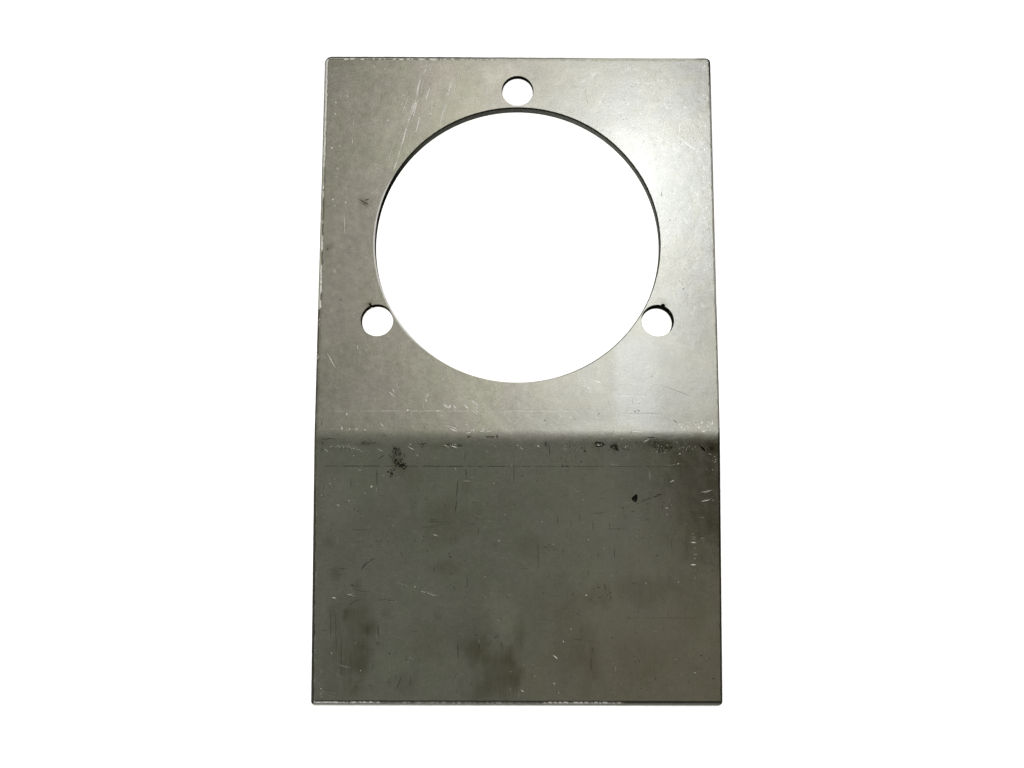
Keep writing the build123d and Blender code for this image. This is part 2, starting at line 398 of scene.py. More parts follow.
    (0.35,0.38,(-11.07,-74.42)),
    (0.55,0.38,(53.07,-66.65)),
    (0.35,0.38,(48.14,-72.06)),
    (0.5,0.38,(32.15,-75.6)),
    (0.5,0.38,(36.91,-75.65)),
    (0.5,0.38,(26.4,-76)),
    (0.5,0.38,(20.23,-75.68)),
    (0.5,0.38,(58.53,-75.61)),
    (0.7,0.47,(62.73,-19.31)),
    (0.6,0.41,(54.6,-29.56)),
    (0.8,0.28,(-56.22,-20.66),(-55.12,-21.21)),
    (0.75,0.25,(-26.38,-29.82),(-25.42,-30.1),(-24.45,-30.44)),
    (0.6,0.38,(-29.6,-47.55)),
    (0.45,0.16,(-28.23,-48.07),(-26.55,-48.22),(-24.81,-48.46),(-23.76,-49.14)),
    (0.7,0.25,(-52.87,-48.36),(-51.57,-48.6),(-50.17,-49.03)),
    (0.95,0.32,(-57.45,-49.35),(-56.65,-49.53),(-55.9,-49.78)),
    (0.35,0.22,(-61.19,-48.49),(-60.07,-48.58)),
    (0.42,0.19,(-13.46,-23.5),(-12.49,-24.06),(-11.64,-24.59),(-10.52,-24.34)),
    (0.45,0.19,(-9.27,-25.7),(-8.43,-25.88),(-7.62,-26.13)),
    (0.7,0.25,(-6.08,-31.7),(-5.24,-31.92)),
    (0.35,0.22,(-8.33,-17.93),(-7.64,-19.18)),
    (0.3,0.19,(10.61,-13.61),(13.67,-13.6)),
    (0.9,-0.28,(47.46,-13.67),(48.33,-13.26),(49.18,-12.89)),
    (0.3,0.32,(48.47,-16.59),(49.09,-16.59)),
    (0.7,0.28,(46.03,-21.6),(47.18,-21.63)),
    (0.6,0.19,(58.11,-16.92),(59.23,-16.67),(60.01,-16.54)),
    (0.45,0.19,(60.2,-16.48),(61.14,-16.29),(62.2,-16.1)),
    (0.4,0.19,(58.45,-16.42),(59.89,-16.17),(60.83,-15.98)),
    (0.7,0.25,(57.37,-19.56),(58.12,-19.34),(58.93,-19.16)),
    (0.5,0.19,(58.87,-19.22),(59.8,-18.91),(60.71,-18.66)),
    (0.35,0.16,(57.99,-19.03),(59.24,-18.72)),
    (0.35,0.25,(56.3,-24.53),(58.32,-24.56)),
    (0.3,1.01,(54.81,-30.86)),
    (0.4,0.32,(54.26,-29.71),(55.35,-29.71)),
    (0.35,0.32,(54.22,-30.58),(55.59,-30.58)),
    (0.35,0.32,(54.21,-31.45),(55.65,-31.45)),
    (0.85,-0.41,(53.96,-32.25),(55.86,-32.28)),
    (0.34,-0.47,(54.09,-31.36),(55.77,-31.38)),
    (0.3,-0.47,(54.22,-30.52),(55.68,-30.55)),
    (0.24,-0.47,(54.35,-29.71),(55.54,-29.71)),
    (0.24,-0.47,(56.89,-31.75),(58.45,-31.75)),
    (0.26,-0.47,(56.83,-30.89),(58.64,-30.88)),
    (0.22,-0.47,(56.97,-30.02),(58.46,-30.02)),
    (0.35,0.82,(57.52,-31.07)),
    (0.3,0.57,(58.01,-31.88)),
    (0.7,-0.28,(61.26,-30.45),(62.69,-30.47)),
    (0.4,-0.22,(60.67,-29.95),(61.76,-29.98)),
    (1,-0.47,(53.87,-39.15),(55.74,-39.17)),
    (0.6,-0.28,(54.83,-35.9),(56.14,-35.93)),
    (0.55,-0.28,(54.67,-37.29),(55.69,-37.29)),
    (0.55,-0.28,(54.77,-43.16),(55.64,-43.18)),
    (0.5,0.32,(54.88,-34.05),(55.81,-34.11)),
    (0.45,0.32,(54.95,-41.09),(55.75,-41.15)),
    (0.55,0.22,(-54.99,-70.01),(-53.19,-70.55),(-50.99,-70.95)),
    (0.3,0.19,(-57.88,-71.78),(-55.45,-72.94),(-52.88,-74.21)),
    (0.7,0.44,(-61.51,-78.25)),
    (0.35,0.19,(-60.83,-78.43),(-57.54,-79.4),(-53.92,-80.49)),
    (0.3,0.19,(-60.83,-78.25),(-57.24,-78.61),(-54.77,-78.97)),
    (0.35,0.22,(-43.36,-60.56),(-43.34,-63.01)),
    (0.6,0.28,(16.57,-58.93),(17.13,-59.02)),
    (0.95,0.32,(14.34,-62.37),(14.43,-63.22)),
    (1,0.41,(11.09,-66.9),(11.92,-67.54),(12.76,-68.24)),
    (0.8,0.28,(11.08,-75.48),(11.98,-75.87)),
    (0.9,0.35,(1.23,-77.6),(1.72,-77.9),(2.28,-78.21)),
    (0.8,0.32,(54.7,-72.14),(55.31,-72.45)),
    (0.3,0.19,(29.91,-20.67),(32.72,-20.32),(35.44,-19.79)),
    (-0.6,0.28,(38.34,-19.63),(40.34,-18.97),(42.4,-18.31)),
    (-0.85,0.32,(42.09,-18.41),(43.46,-17.94),(44.43,-17.6)),
    (-0.5,0.25,(36.59,-20.56),(38.46,-19.94)),
    (-0.45,0.25,(39.39,-20.49),(41.89,-20.3)),
    (-0.8,0.47,(44.81,-17.5)),
    (-0.6,0.44,(-28.41,-19.09)),
    (-0.6,0.44,(-29.03,-30.63)),
    (-0.6,0.44,(-31.79,-31.84)),
    (-0.6,0.44,(-27.88,-35.11)),
    (-0.5,0.44,(-42.34,-31.98)),
    (-0.6,0.44,(-49.53,-22.85)),
    (-0.6,0.44,(32.97,-21.59)),
    (-0.6,0.44,(36.14,-22.61)),
    (-0.6,0.41,(31.47,-28.11)),
    (-0.6,0.41,(29.01,-28.18)),
    (-0.6,0.47,(43.51,-36.32)),
    (-0.5,0.44,(8.33,-47.95)),
    (-0.5,0.41,(1.65,-11.66)),
    (-0.5,0.41,(-0.81,-20.56)),
    (-0.5,0.44,(8.39,-33.69)),
    (-0.5,0.44,(9.92,-33.13)),
    (-0.5,0.41,(39.03,-30.98)),
    (-0.6,0.44,(34.56,-55.56)),
    (-0.5,0.41,(36.98,-60.18)),
    (-0.5,0.41,(42.82,-74.05)),
    (-0.5,0.41,(38.47,-77.05)),
    (-0.5,0.41,(28.99,-77.49)),
    (-0.5,0.44,(-38.17,-50.46)),
    (-0.5,0.44,(24.31,-51.36)),
    (-0.5,0.41,(16.68,-73.55)),
    (-0.5,0.41,(60.74,-74.12)),
    (-0.5,0.41,(57.09,-66.95)),
    (-0.5,0.41,(59.55,-68.16)),
    (-0.9,0.51,(14.24,-8.64)),
    (-0.9,0.51,(15.49,-8.64)),
    (-0.6,0.47,(-39.28,-66.56)),
    (-0.6,0.47,(-34.29,-68.47)),
    (-0.5,0.44,(-29.45,-69.96)),
    (-0.6,0.44,(-39.09,-75.29)),
    (-0.6,0.44,(-45.29,-76.4)),
    (-0.5,0.41,(36.63,-69.09)),
    (-0.5,0.41,(37.81,-68.66)),
    (-0.6,0.41,(22.85,-49.89)),
    (-0.3,0.22,(-43.53,-9.68),(-43.54,-12.48),(-43.48,-15.22)),
    (-0.4,0.22,(-16.58,-6.82),(-16.54,-8.7)),
    (-0.45,0.22,(-16.1,-9.32),(-16.03,-12.12)),
    (-0.35,0.22,(-18.24,-12.41),(-18.51,-15.24),(-18.62,-18.35)),
    (-0.6,0.25,(-18.65,-18.98),(-19.05,-21.28),(-19.44,-23.51)),
    (-0.3,0.19,(-0.95,-6.8),(-0.98,-10.54),(-0.94,-14.28)),
    (-0.5,0.22,(-11.79,-27.66),(-12.1,-29.08),(-12.46,-30.42)),
    (-0.4,0.22,(-15.53,-26.86),(-13.91,-26.61),(-12.2,-26.79)),
    (-0.9,0.35,(-21.34,-36.37),(-20.71,-36.86),(-20.09,-37.33)),
    (-0.45,0.22,(12.57,-23.74),(12.73,-25.13),(12.85,-26.5)),
    (-0.45,0.22,(16.75,-25.44),(16.74,-27.3)),
    (-0.4,0.22,(6.43,-31.5),(6.53,-33.51),(6.59,-35.64),(6.72,-37.53),(6.87,-39.5)),
    (-0.4,0.22,(23.66,-25.3),(23.66,-28.19)),
    (-0.4,0.22,(25.22,-35.02),(25.22,-37.4)),
    (-0.35,0.19,(27.21,-28.15),(33.75,-28.14)),
    (-0.3,0.19,(-51.43,-28.53),(-45.86,-28.52)),
    (-0.3,0.22,(-4.27,-21.19),(-2.39,-21.19)),
    (-0.3,0.22,(14.14,-17.62),(16.01,-17.61)),
    (-0.3,0.22,(-5.81,-28.45),(-3.63,-28.45)),
    (-0.25,0.19,(32.7,-55.56),(44.48,-55.51),(57.19,-55.52)),
    (-0.3,0.19,(-61.89,-59.49),(-57.18,-59.48)),
    (-0.6,0.25,(-43.85,-37.24),(-45.08,-37.99),(-46.32,-38.76),(-47.06,-39.41),(-47.71,-40.12),(-48.2,-40.8),(-48.66,-41.51)),
    (-0.5,0.25,(-46.37,-33.91),(-44.7,-32.95)),
    (-0.4,0.22,(-29.73,-27.97),(-27.8,-27.53),(-25.84,-27.25)),
    (-0.35,0.22,(-28.25,-25.36),(-26.07,-25.32),(-23.89,-25.51)),
    (-0.5,0.25,(-51.79,-44.81),(-51.29,-45.77),(-50.41,-46.2)),
    (-0.5,0.25,(-50.55,-44.84),(-51.53,-46.14)),
    (-0.6,0.25,(26.93,-44.87),(27.3,-46.01),(27.77,-47.17)),
    (-0.55,0.25,(24.98,-44.9),(25.01,-46.13)),
    (-0.55,0.25,(28.39,-46.43),(28.85,-47.17)),
    (-0.55,0.25,(28.94,-49.02),(29.21,-50.03),(28.5,-50.47)),
    (-0.4,0.22,(23.42,-45.83),(24.23,-47.24)),
    (-0.4,0.22,(26.02,-48.1),(27.01,-49.27)),
    (-0.35,0.22,(-42.67,-57.8),(-42.68,-60.07),(-42.63,-62.74)),
    (-0.6,0.44,(-42.62,-63.32)),
    (-0.35,0.22,(-18.41,-63.25),(-18.22,-65.85),(-17.99,-68.45)),
    (-0.5,0.25,(-7.09,-61.58),(-5.73,-61.05)),
    (-0.4,0.22,(-17.69,-71.96),(-18.86,-73.18),(-20.03,-74.43)),
    (-0.5,0.25,(-37.82,-75.04),(-37.46,-74.01),(-37.22,-72.91)),
    (-0.4,0.22,(28.96,-61.05),(30.25,-62.09)),
    (-0.3,0.22,(-0.85,-68.27),(-0.85,-71.32)),
    (0.95,0.63,(25.35,-1.91)),
    (-1,0.54,(24.48,-1.44)),
    (-1,0.47,(24.89,-1.1)),
    (-0.95,0.44,(25.85,-1.22)),
    (-1,0.6,(26.92,-1.84)),
    (-0.9,0.38,(26.54,-1.31)),
    (-0.9,0.41,(24.79,-2.57)),
    (-0.8,0.35,(25.6,-3.72)),
    (-0.7,0.32,(26.16,-2.69)),
    (-1,0.57,(29.42,-2.56)),
    (-1,0.51,(30.17,-2.06)),
    (-1,0.7,(30.79,-2.56),(31.23,-3.31),(31.66,-4.24)),
    (-1,0.54,(28.91,-3.25),(29.67,-2.43),(30.42,-1.93)),
    (-0.8,0.41,(28.35,-3.59)),
    (-0.8,0.35,(30.04,-3.25)),
    (0.5,0.35,(31.86,-1.93)),
    (-0.9,0.47,(21.22,-4.04)),
    (-0.8,0.38,(20.06,-2.98)),
    (-0.85,0.38,(20.05,-7.17)),
    (-0.6,0.35,(13.8,-6.12)),
    (0.5,0.38,(15.28,-2.46)),
    (0.4,0.32,(14.71,-3.46)),
    (0.35,0.32,(21.6,-2.85)),
    (-0.6,0.32,(15.4,-4.83)),
    (-0.6,0.32,(19.03,-5.33)),
    (0.85,0.51,(33.86,-2.65)),
    (0.6,0.35,(34.49,-2.36)),
    (-0.7,0.38,(33.42,-3.36)),
    (-0.7,0.35,(34.42,-3.49)),
    (-0.7,0.38,(37.18,-1.26)),
    (-0.6,0.35,(38.56,-1.2)),
    (-0.75,0.41,(40.45,0.18),(41.7,0.37),(43.58,0.35)),
    (-0.6,0.35,(42.32,-0.16),(44.39,-0.09)),
    (-1,0.57,(45.58,-3.78)),
    (-1,0.51,(48.12,-2.81)),
    (-0.95,0.44,(46.5,-2.87)),
    (-0.9,0.41,(44.36,-3.47)),
    (-0.85,0.41,(43.12,-2.75)),
    (-0.9,0.41,(47.3,-3.72)),
    (0.6,0.38,(45,-2.41)),
    (0.55,0.35,(47.06,-2.22)),
    (0.55,0.35,(43.67,-4.16)),
    (0.5,0.32,(46.05,-4.34)),
    (0.65,0.41,(51.82,-2.65)),
    (0.7,0.41,(53,-3.14)),
    (0.7,0.41,(53.82,-2.33)),
    (0.65,0.38,(54.69,-3.2)),
    (0.6,0.38,(55.63,-2.64)),
    (-0.8,0.38,(52.43,-3.46)),
    (-0.8,0.38,(54.19,-3.58)),
    (-0.8,0.35,(53.26,-2.39)),
    (-1,-0.7,(57.01,-2.2),(58.01,-3.07),(59,-4.17)),
    (-0.9,0.51,(59.89,-2.63),(60.63,-3.26),(61.25,-3.76)),
    (-0.8,0.38,(59.13,-2.88),(59.81,-3.7)),
    (0.5,0.32,(59.49,-4.45),(60.93,-5.13)),
    (0.6,0.35,(50.3,-4.8),(51.05,-4.74)),
    (0.65,0.38,(49.96,-8.08),(50.65,-7.58)),
    (0.6,0.38,(61.92,-6.44)),
    (0.6,0.38,(61.6,-7.25)),
    (0.5,0.35,(62.29,-7)),
    (0.5,0.35,(60.98,-9.62)),
    (0.35,0.22,(46.96,-8.46),(48.84,-8.15),(51.03,-7.74)),
    (-0.8,0.38,(-40.26,-4.68),(-39.31,-6.55)),
    (-0.9,0.47,(-38.43,-7.61)),
    (-1,0.54,(-36.92,-7.98)),
    (-1,0.63,(-35.42,-8.51)),
    (-0.9,0.44,(-34.48,-8.79)),
    (-0.9,0.47,(-39.09,-10.92)),
    (-0.8,0.38,(-38.09,-2.49),(-37.33,-4.36)),
    (-0.8,0.38,(-36.83,-3.42),(-36.19,-5.61)),
    (-0.7,0.28,(-18.29,-63.25),(-18.21,-66.15),(-18.24,-68.29)),
    (-0.7,0.28,(-42.95,-57.47),(-42.95,-61.3)),
    (-0.6,0.28,(-43.19,-62.52),(-43.11,-64.36)),
    (-0.55,0.25,(-40.5,-50.43),(-37.71,-50.36)),
    (-0.7,0.32,(-39.75,-66.31),(-39.44,-66.8)),
    (-0.6,0.25,(-34.33,-67.1),(-33.85,-68.47)),
    (-0.6,0.25,(-37.49,-77.94),(-36.27,-75.35),(-35.67,-73.51)),
    (-0.6,0.25,(-40.16,-75.96),(-39.38,-73.98)),
    (-0.5,0.25,(-32.89,-73.51),(-32.56,-76.86)),
    (-0.55,0.25,(-30.46,-67.7),(-29.52,-69.84)),
    (-0.55,0.28,(-13.47,-61.25),(-11.61,-60.82)),
    (-0.6,0.28,(-7.27,-62.16),(-5.85,-60.87)),
    (-0.6,0.32,(-19.86,-45.59),(-18.98,-47.32)),
    (-0.6,0.32,(-51.6,-45.18),(-50.47,-46.26)),
    (-0.55,0.28,(-12.07,-63.39),(-11.41,-65.23)),
    (-0.5,0.25,(-18.96,-78.67),(-18.04,-77.45)),
    (-0.5,0.25,(-14.65,-76.53),(-13.42,-75.31)),
    (-0.5,0.25,(-32.99,-59.93),(-30.51,-59.81)),
    (-0.45,0.22,(-57.85,-52.43),(-57.61,-62.55)),
    (-0.45,0.22,(-56.16,-53.96),(-55.83,-67.14)),
    (-0.4,0.22,(-54.33,-62.54),(-54.09,-73.55)),
    (-0.45,0.25,(-63.04,-59.49),(-57.77,-59.48)),
    (-0.5,0.25,(-53.22,-50.27),(-51.38,-48.91),(-49.21,-48.1)),
    (-0.45,0.25,(-52.27,-52.11),(-50.43,-50.57),(-47.95,-49.95)),
    (-0.4,0.25,(-51.09,-46.88),(-47.98,-47.49),(-44.87,-47.79)),
    (-0.35,0.22,(-44.84,-50.87),(-40.82,-49.94),(-36.79,-49.62)),
    (-0.7,0.35,(24.66,-46.44),(26.06,-46.01)),
    (-0.7,0.32,(27.03,-45.51),(27.77,-47.05)),
    (-0.7,0.32,(28.39,-47.36),(29.44,-48.28)),
    (-0.65,0.32,(25.09,-49.52),(26.21,-49.02)),
    (-0.7,0.35,(28.69,-49.51),(29.47,-48.9)),
    (-0.6,0.32,(24.34,-51.36)),
    (-0.6,0.28,(23.72,-50.14),(23.53,-51.06)),
    (-0.8,0.47,(29.64,-61.48),(29.39,-61.91)),
    (-0.6,0.28,(23.37,-64.55),(23.43,-66.08)),
    (-0.55,0.25,(22.87,-67),(22.92,-72.2)),
    (-0.8,0.38,(36.48,-68.51),(36.6,-69.24)),
    (-0.75,0.35,(37.78,-68.63),(37.71,-69.18)),
    (-0.8,0.38,(42.81,-74.18)),
    (-0.6,0.35,(56.47,-66.64),(57.27,-67.43)),
    (-0.6,0.32,(54.79,-68.05)),
    (-0.7,0.35,(60.24,-74.09),(61.23,-73.96)),
    (-0.6,0.28,(16.68,-73.43)),
    (-0.5,0.25,(28.9,-77.49)),
    (-0.7,0.35,(42.24,-55.64)),
    (-0.5,0.28,(8.39,-47.88)),
    (-0.5,0.25,(46.2,-75.82)),
    (-0.6,0.25,(-1.01,-8.67),(-0.97,-13.97)),
    (-0.7,0.35,(1.52,-11.78)),
    (-0.6,0.25,(12.7,-24.51),(12.69,-26.69)),
    (-0.6,0.25,(23.6,-26.67),(23.59,-28.84)),
    (-0.5,0.25,(28.77,-26.04),(28.83,-28.21)),
    (-0.6,0.35,(31.44,-28.2)),
    (-0.55,0.25,(25.25,-35.64),(25.25,-37.19)),
    (-0.7,0.38,(43.54,-36.35)),
    (-0.75,0.41,(32.97,-21.56)),
    (-0.5,0.28,(36.14,-22.61)),
    (-0.22,0.22,(6.47,-33.2),(6.53,-40.92)),
    (-0.6,0.32,(7.9,-33.69),(9.89,-33.94)),
    (-0.5,0.25,(8.83,-1.47),(9.33,-3.34)),
    (-0.6,0.28,(10.08,-2.09),(10.21,-5.53)),
    (-0.8,0.38,(43.34,-17.5),(44.78,-17.44)),
    (0.6,0.28,(57.52,-16.61),(59.08,-16.36),(60.58,-16.17)),
    (0.85,0.35,(57.61,-19.59),(59.05,-19.22),(59.99,-19.09)),
    (0.5,0.28,(60.61,-19.22),(61.42,-19.09)),
    (0.5,0.28,(57.45,-24.62),(58.32,-24.56)),
    (0.35,0.25,(56.81,-26.3),(58.06,-26.3)),
    (0.62,0.25,(-28.55,-47.33),(-26.68,-48.44),(-24.75,-48.99)),
    (0.7,0.25,(-29.66,-47.27),(-28.42,-47.95)),
    (0.5,0.22,(-27.37,-47.33),(-25.93,-47.94)),
    (0.45,0.22,(-37.76,-44.7),(-35.58,-45.31),(-33.09,-46.23)),
    (-0.75,0.32,(-21.47,-35.47),(-20.78,-36.15)),
    (-0.7,0.35,(-27.88,-35.11)),
    (-0.6,0.28,(-48.53,-41.32),(-47.44,-39.16),(-46.2,-38.11)),
    (-0.5,0.25,(-45.89,-37.92),(-44.03,-37.3)),
    (-0.6,0.32,(-42.28,-31.92)),
    (-0.5,0.25,(-42.53,-32.05),(-44.39,-32.17)),
    (-0.45,0.25,(-51.71,-28.47),(-48.16,-28.59)),
    (-0.6,0.25,(-18.53,-12.44),(-18.76,-16.18),(-18.99,-19.29)),
    (-0.7,0.28,(-18.92,-20.53),(-19.35,-23.33)),
    (-0.5,0.25,(-16.38,-4.01),(-16.17,-7.45)),
    (-0.55,0.25,(-15.85,-9.94),(-15.78,-12.44)),
    (-0.5,0.25,(-11.88,-28.28),(-12.34,-30.45)),
    (-0.45,0.22,(-28.87,-25.83),(-23.88,-26.13),(-19.21,-25.93)),
    (-0.4,0.22,(-28.23,-28.3),(-24.81,-27.06),(-20.14,-26.43)),
    (-0.5,0.28,(-43.98,-9.05),(-43.8,-14.98)),
    (-0.5,0.28,(-43.29,-16.22)),
    (0.5,0.35,(-41.64,-33.28)),
    (0.8,0.32,(60.01,-30.45),(61.13,-30.45),(62.25,-30.47)),
    (0.75,0.47,(16.76,-58.99)),
    (0.34,0.16,(56.26,-17.11),(58.14,-16.67),(60.02,-16.23),(61.58,-15.92)),
    (1,0.57,(57.79,5.82),(57.95,4.49)),
    (1,0.71,(56.99,3.6)),
    (1,0.71,(58.34,2.4)),
    (1,0.53,(57.58,2.2),(59.1,2.65)),
    (0.9,0.43,(59.56,3.86)),
    (0.9,0.39,(60.16,5.19)),
    (1,0.64,(61.09,4.75)),
    (0.78,0.35,(55.75,4.48)),
    (0.84,0.39,(60.42,2.84)),
    (0.78,0.28,(62.12,113.4),(62.14,111.67)),
    (0.67,0.28,(61.17,103.73),(61.2,102.35)),
    (0.73,0.32,(61.62,95.15)),
    (0.67,0.28,(60.37,89.02),(60.53,87.66)),
    (0.67,0.35,(61.73,83.59)),
    (0.67,0.28,(60.83,75.83),(60.93,74.48)),
    (0.67,0.35,(61.64,69.12)),
    (-0.6,0.28,(46.89,79.98),(46.23,78.97)),
    (-0.5,0.25,(46.39,80.66),(46.57,79.85)),
    (0.56,0.25,(49.61,110.61),(48.59,108.53)),
    (0.56,0.25,(25.93,121.69),(24.6,119.24)),
    (0.62,0.28,(26.91,120.78)),
    (0.5,0.25,(42.2,110.39),(41.19,108.66)),
    (0.56,0.32,(39.93,107.2)),
    (0.5,0.28,(37.44,107.34)),
    (0.56,0.28,(35.03,112.66),(36,112.11)),
    (0.8,0.44,(-60.41,-77.4)),
    (0.7,0.38,(-59.84,-78.13)),
    (0.7,0.38,(-60.45,-78.86)),
    (0.6,0.32,(-59.22,-78.49)),
    (0.6,0.35,(-60.2,-79.65)),
    (1,0.5,(-21.24,3.21),(-19.99,2.7),(-18.73,2.01)),
    (1,0.45,(-16.37,4.68),(-15.48,3.98)),
    (1,0.5,(-14.47,2.4),(-13.22,3.1)),
    (1,0.43,(-11.9,2.47),(-11.15,2.09),(-10.09,3.67)),
    (1,0.39,(-9.64,2.15),(-7.89,2.6)),
    (1,0.45,(-15.9,1.57),(-14.34,2.08)),
    (1,0.45,(-55.04,3.91),(-54.76,2.52)),
    (1,0.5,(-52.58,2.9)),
    (1,0.5,(-50.69,2.72),(-49.95,3.03)),
    (0.97,0.45,(-48,2.78),(-47.12,2.59)),
    (1,0.45,(-53.63,7.92),(-53.43,7.09)),
    (1,0.6,(-34.34,8.9)),
    (0.85,0.22,(-28.09,14.02),(-28.89,12.55)),
    (1,0.31,(-16.73,10.72),(-15.97,9.83),(-15.08,8.87)),
    (1,0.25,(-13.91,12.13),(-13.15,10.85),(-12.01,10.34)),
    (1,0.3,(-13.95,9.58),(-12.94,8.75),(-12.12,7.99)),
    (1,0.25,(-23.14,10.9),(-22.25,9.62)),
    (1,0.25,(-21.93,9.37),(-20.88,10.77)),
    (1,0.28,(-20.06,10.71),(-19.04,9.06)),
    (0.9,0.4,(-39.33,15.73),(-38.55,14.32)),
    (0.77,0.3,(-43.42,15.66),(-42.97,15.14)),
    (0.67,0.25,(-47.97,28.52),(-47.7,27.75)),
    (0.62,0.25,(-50.66,29.88),(-50.44,28.13)),
    (0.9,0.37,(-41.53,33.2),(-40.76,32.36)),
)
PIT = ((37.32,-17.33),(37.54,-17.89),(37.47,-18.76),(37.31,-19.5),(36.75,-19.94),(36,-19.35),(35.66,-18.64),(36.32,-17.89),(36.88,-17.48))
DIE_LINES = (
    (0.4925,0.32,-62.63,-58.17,8.57),
    (0.575,0.32,-58.24,-53.46,8.58),
    (0.52,0.32,-53.52,-49.69,8.59),
    (0.6025,0.32,-49.76,-43.1,8.59),
    (0.85,0.32,-43.32,-36.19,8.61),
    (0.685,0.32,-36.41,-30.85,8.61),
    (0.8225,0.32,-31.07,-22.37,8.63),
    (0.7125,0.32,-22.59,-14.51,8.64),
    (0.63,0.32,-14.73,-10.43,8.66),
    (0.6025,0.32,-10.49,-4.46,8.66),
    (0.7675,0.32,-4.53,3.7,8.68),
    (0.52,0.32,3.64,12.5,8.69),
    (0.465,0.32,14.01,19.1,8.71),
    (-0.55,0.28,-62.42,-54.92,-8.77),
    (-0.85,0.28,-54.92,-48.35,-8.77),
    (-0.9,0.28,-48.67,-42.42,-8.77),
    (-0.6,0.28,-42.1,-36.79,-8.77),
    (-0.55,0.28,-35.54,-30.23,-8.75),
    (-0.85,0.28,-30.23,-22.42,-8.75),
    (-0.85,0.28,-22.73,-16.17,-8.75),
    (-0.5,0.28,-16.17,-9.92,-8.75),
    (-0.8,0.28,-9.92,-3.04,-8.75),
    (-0.45,0.28,-2.73,4.77,-8.75),
    (-0.4,0.28,4.77,13.21,-8.74),
    (-0.7,0.28,13.21,16.96,-8.74),
    (-0.4,0.28,17.27,27.58,-8.73),
    (-0.35,0.28,28.21,38.83,-8.73),
    (-0.3,0.28,39.46,50.08,-8.72),
    (-0.3,0.28,50.71,59.46,-8.72),
    (0.3,0.51,-62.3,-55.4,3.15),
)
STAINS = (
    (-49.38,-62.23,6.01,11.71,4,0.54,0.1),
    (-51.04,-51.8,4.75,3.8,0,0.2,0.06),
    (-21.63,-40.05,5.06,2.53,8,0.12,0.36),
    (3.54,-33.51,3.48,3.8,0,0.3,0),
    (-21.39,-26.74,10.13,6.33,0,0.3,0.08),
    (-5.08,-73.46,5.7,6.33,0,0.24,0.22),
    (15.95,-62.42,4.43,14.56,0,0.05,0.28),
    (-31.95,-75.95,1.9,3.8,0,0.16,0.2),
    (-6.05,-55.72,6.33,9.5,0,-0.3,0),
    (-5.64,120.93,6.01,4.11,0,-0.3,0),
    (-37.61,-62.51,6.96,11.39,0,-0.16,0),
    (-56.06,-18.73,6.33,8.23,0,-0.22,0),
    (38.24,-62.39,18.99,15.82,0,0,0.16),
    (-55.95,-55.8,3.17,5.38,8,0.36,0.1),
    (-46,-59.16,2.53,2.53,0,0.5,0.1),
    (-48.4,-67.12,4.11,5.38,10,0.22,0.1),
    (-51.46,-71.1,4.11,2.85,0,0.3,0.2),
    (-52.62,-77.81,5.7,3.17,0,0.25,0.1),
    (-57.67,-68.67,3.17,6.96,0,0.3,0),
    (-23.91,-21.16,5.06,3.8,0,0.14,0.1),
    (-7.55,-74.08,8.55,8.23,0,0.4,0.12),
    (-11.92,-62.47,5.06,8.23,0,0.22,0.12),
    (-1.38,-69.79,2.85,8.23,0,0.25,0.1),
    (-13.14,-65.84,2.85,3.8,0,0.5,0.1),
    (-14.02,-79.88,1.9,1.58,0,0.5,0.1),
    (0.78,-61.53,1.58,5.06,0,0.45,0.1),
    (21.51,-67.01,3.17,11.39,0,0.1,0.25),
    (40.18,-47.65,6.33,5.06,0,0.2,0.3),
    (-34.73,-75.95,2.22,3.8,0,0.18,0.3),
    (-40.16,-54.39,1.58,1.58,0,0.3,0.1),
    (-24.35,-54.37,1.58,1.58,0,0.3,0.1),
    (23.24,-68.22,1.27,4.75,0,0.25,0.1),
    (-58.08,-32.69,1.58,1.9,0,0.3,0.2),
    (-56.26,-42.26,1.58,1.9,0,0.3,0.6),
    (-16.45,-15.24,1.58,2.53,0,0.25,0.1),
    (-19.19,-31.26,1.9,1.58,0,0.3,0.1),
    (25.9,-48.29,4.43,3.8,0,0.2,0.1),
    (13.48,-50.15,10.76,6.33,15,0.15,0.05),
    (-29.87,-62.5,9.5,6.96,0,0.18,0.1),
    (53.82,-50.08,5.06,12.66,0,0.06,0.2),
    (38.21,-68.51,8.23,6.96,0,0.04,0.2),
    (-42.58,-25.54,8.23,6.33,0,0.12,0.05),
    (-37.43,-7.17,2.22,3.8,0,0.45,0.2),
    (-60.68,61.9,1.27,1.58,0,0.6,0.1),
    (-49.44,76.81,2.53,1.58,20,0.55,0),
    (-47.44,42.78,1.58,1.08,-30,0.75,0.1),
    (46.54,42.94,1.58,0.76,10,0.5,0.1),
    (-61.26,-0.65,1.27,1.27,0,0.3,0.1),
    (-10.63,-77.74,2.85,2.53,0,0.3,0.1),
    (-2.93,-67.05,2.85,2.53,0,0.35,0.1),
    (-53.36,-37.94,4.43,5.7,0,0.1,0.1),
    (1.03,-19.25,12.66,4.43,0,0.07,0.05),
    (-33.34,-11.53,4.43,3.8,0,0.2,0.1),
    (55.31,-19.16,6.96,16.46,0,0.34,0.28),
    (44.81,-1.72,4.43,1.58,0,0.85,0.1),
    (54.2,-1.23,8.23,0.95,0,0.12,0.1),
    (61.2,-22.88,2.53,12.66,0,0.3,0.15),
    (-15.02,-60.03,6.33,6.96,0,0.1,0.1),
    (61.7,-2.94,1.9,2.22,0,0.9,0.1),
    (25.57,-1.91,1.9,0.95,0,0.6,0.1),
    (30.57,-2.68,1.58,1.27,0,0.6,0.1),
    (-21.83,-2.15,4.43,0.79,0,0.4,0.1),
    (-46.55,-1.72,2.85,0.95,0,0.4,0),
)
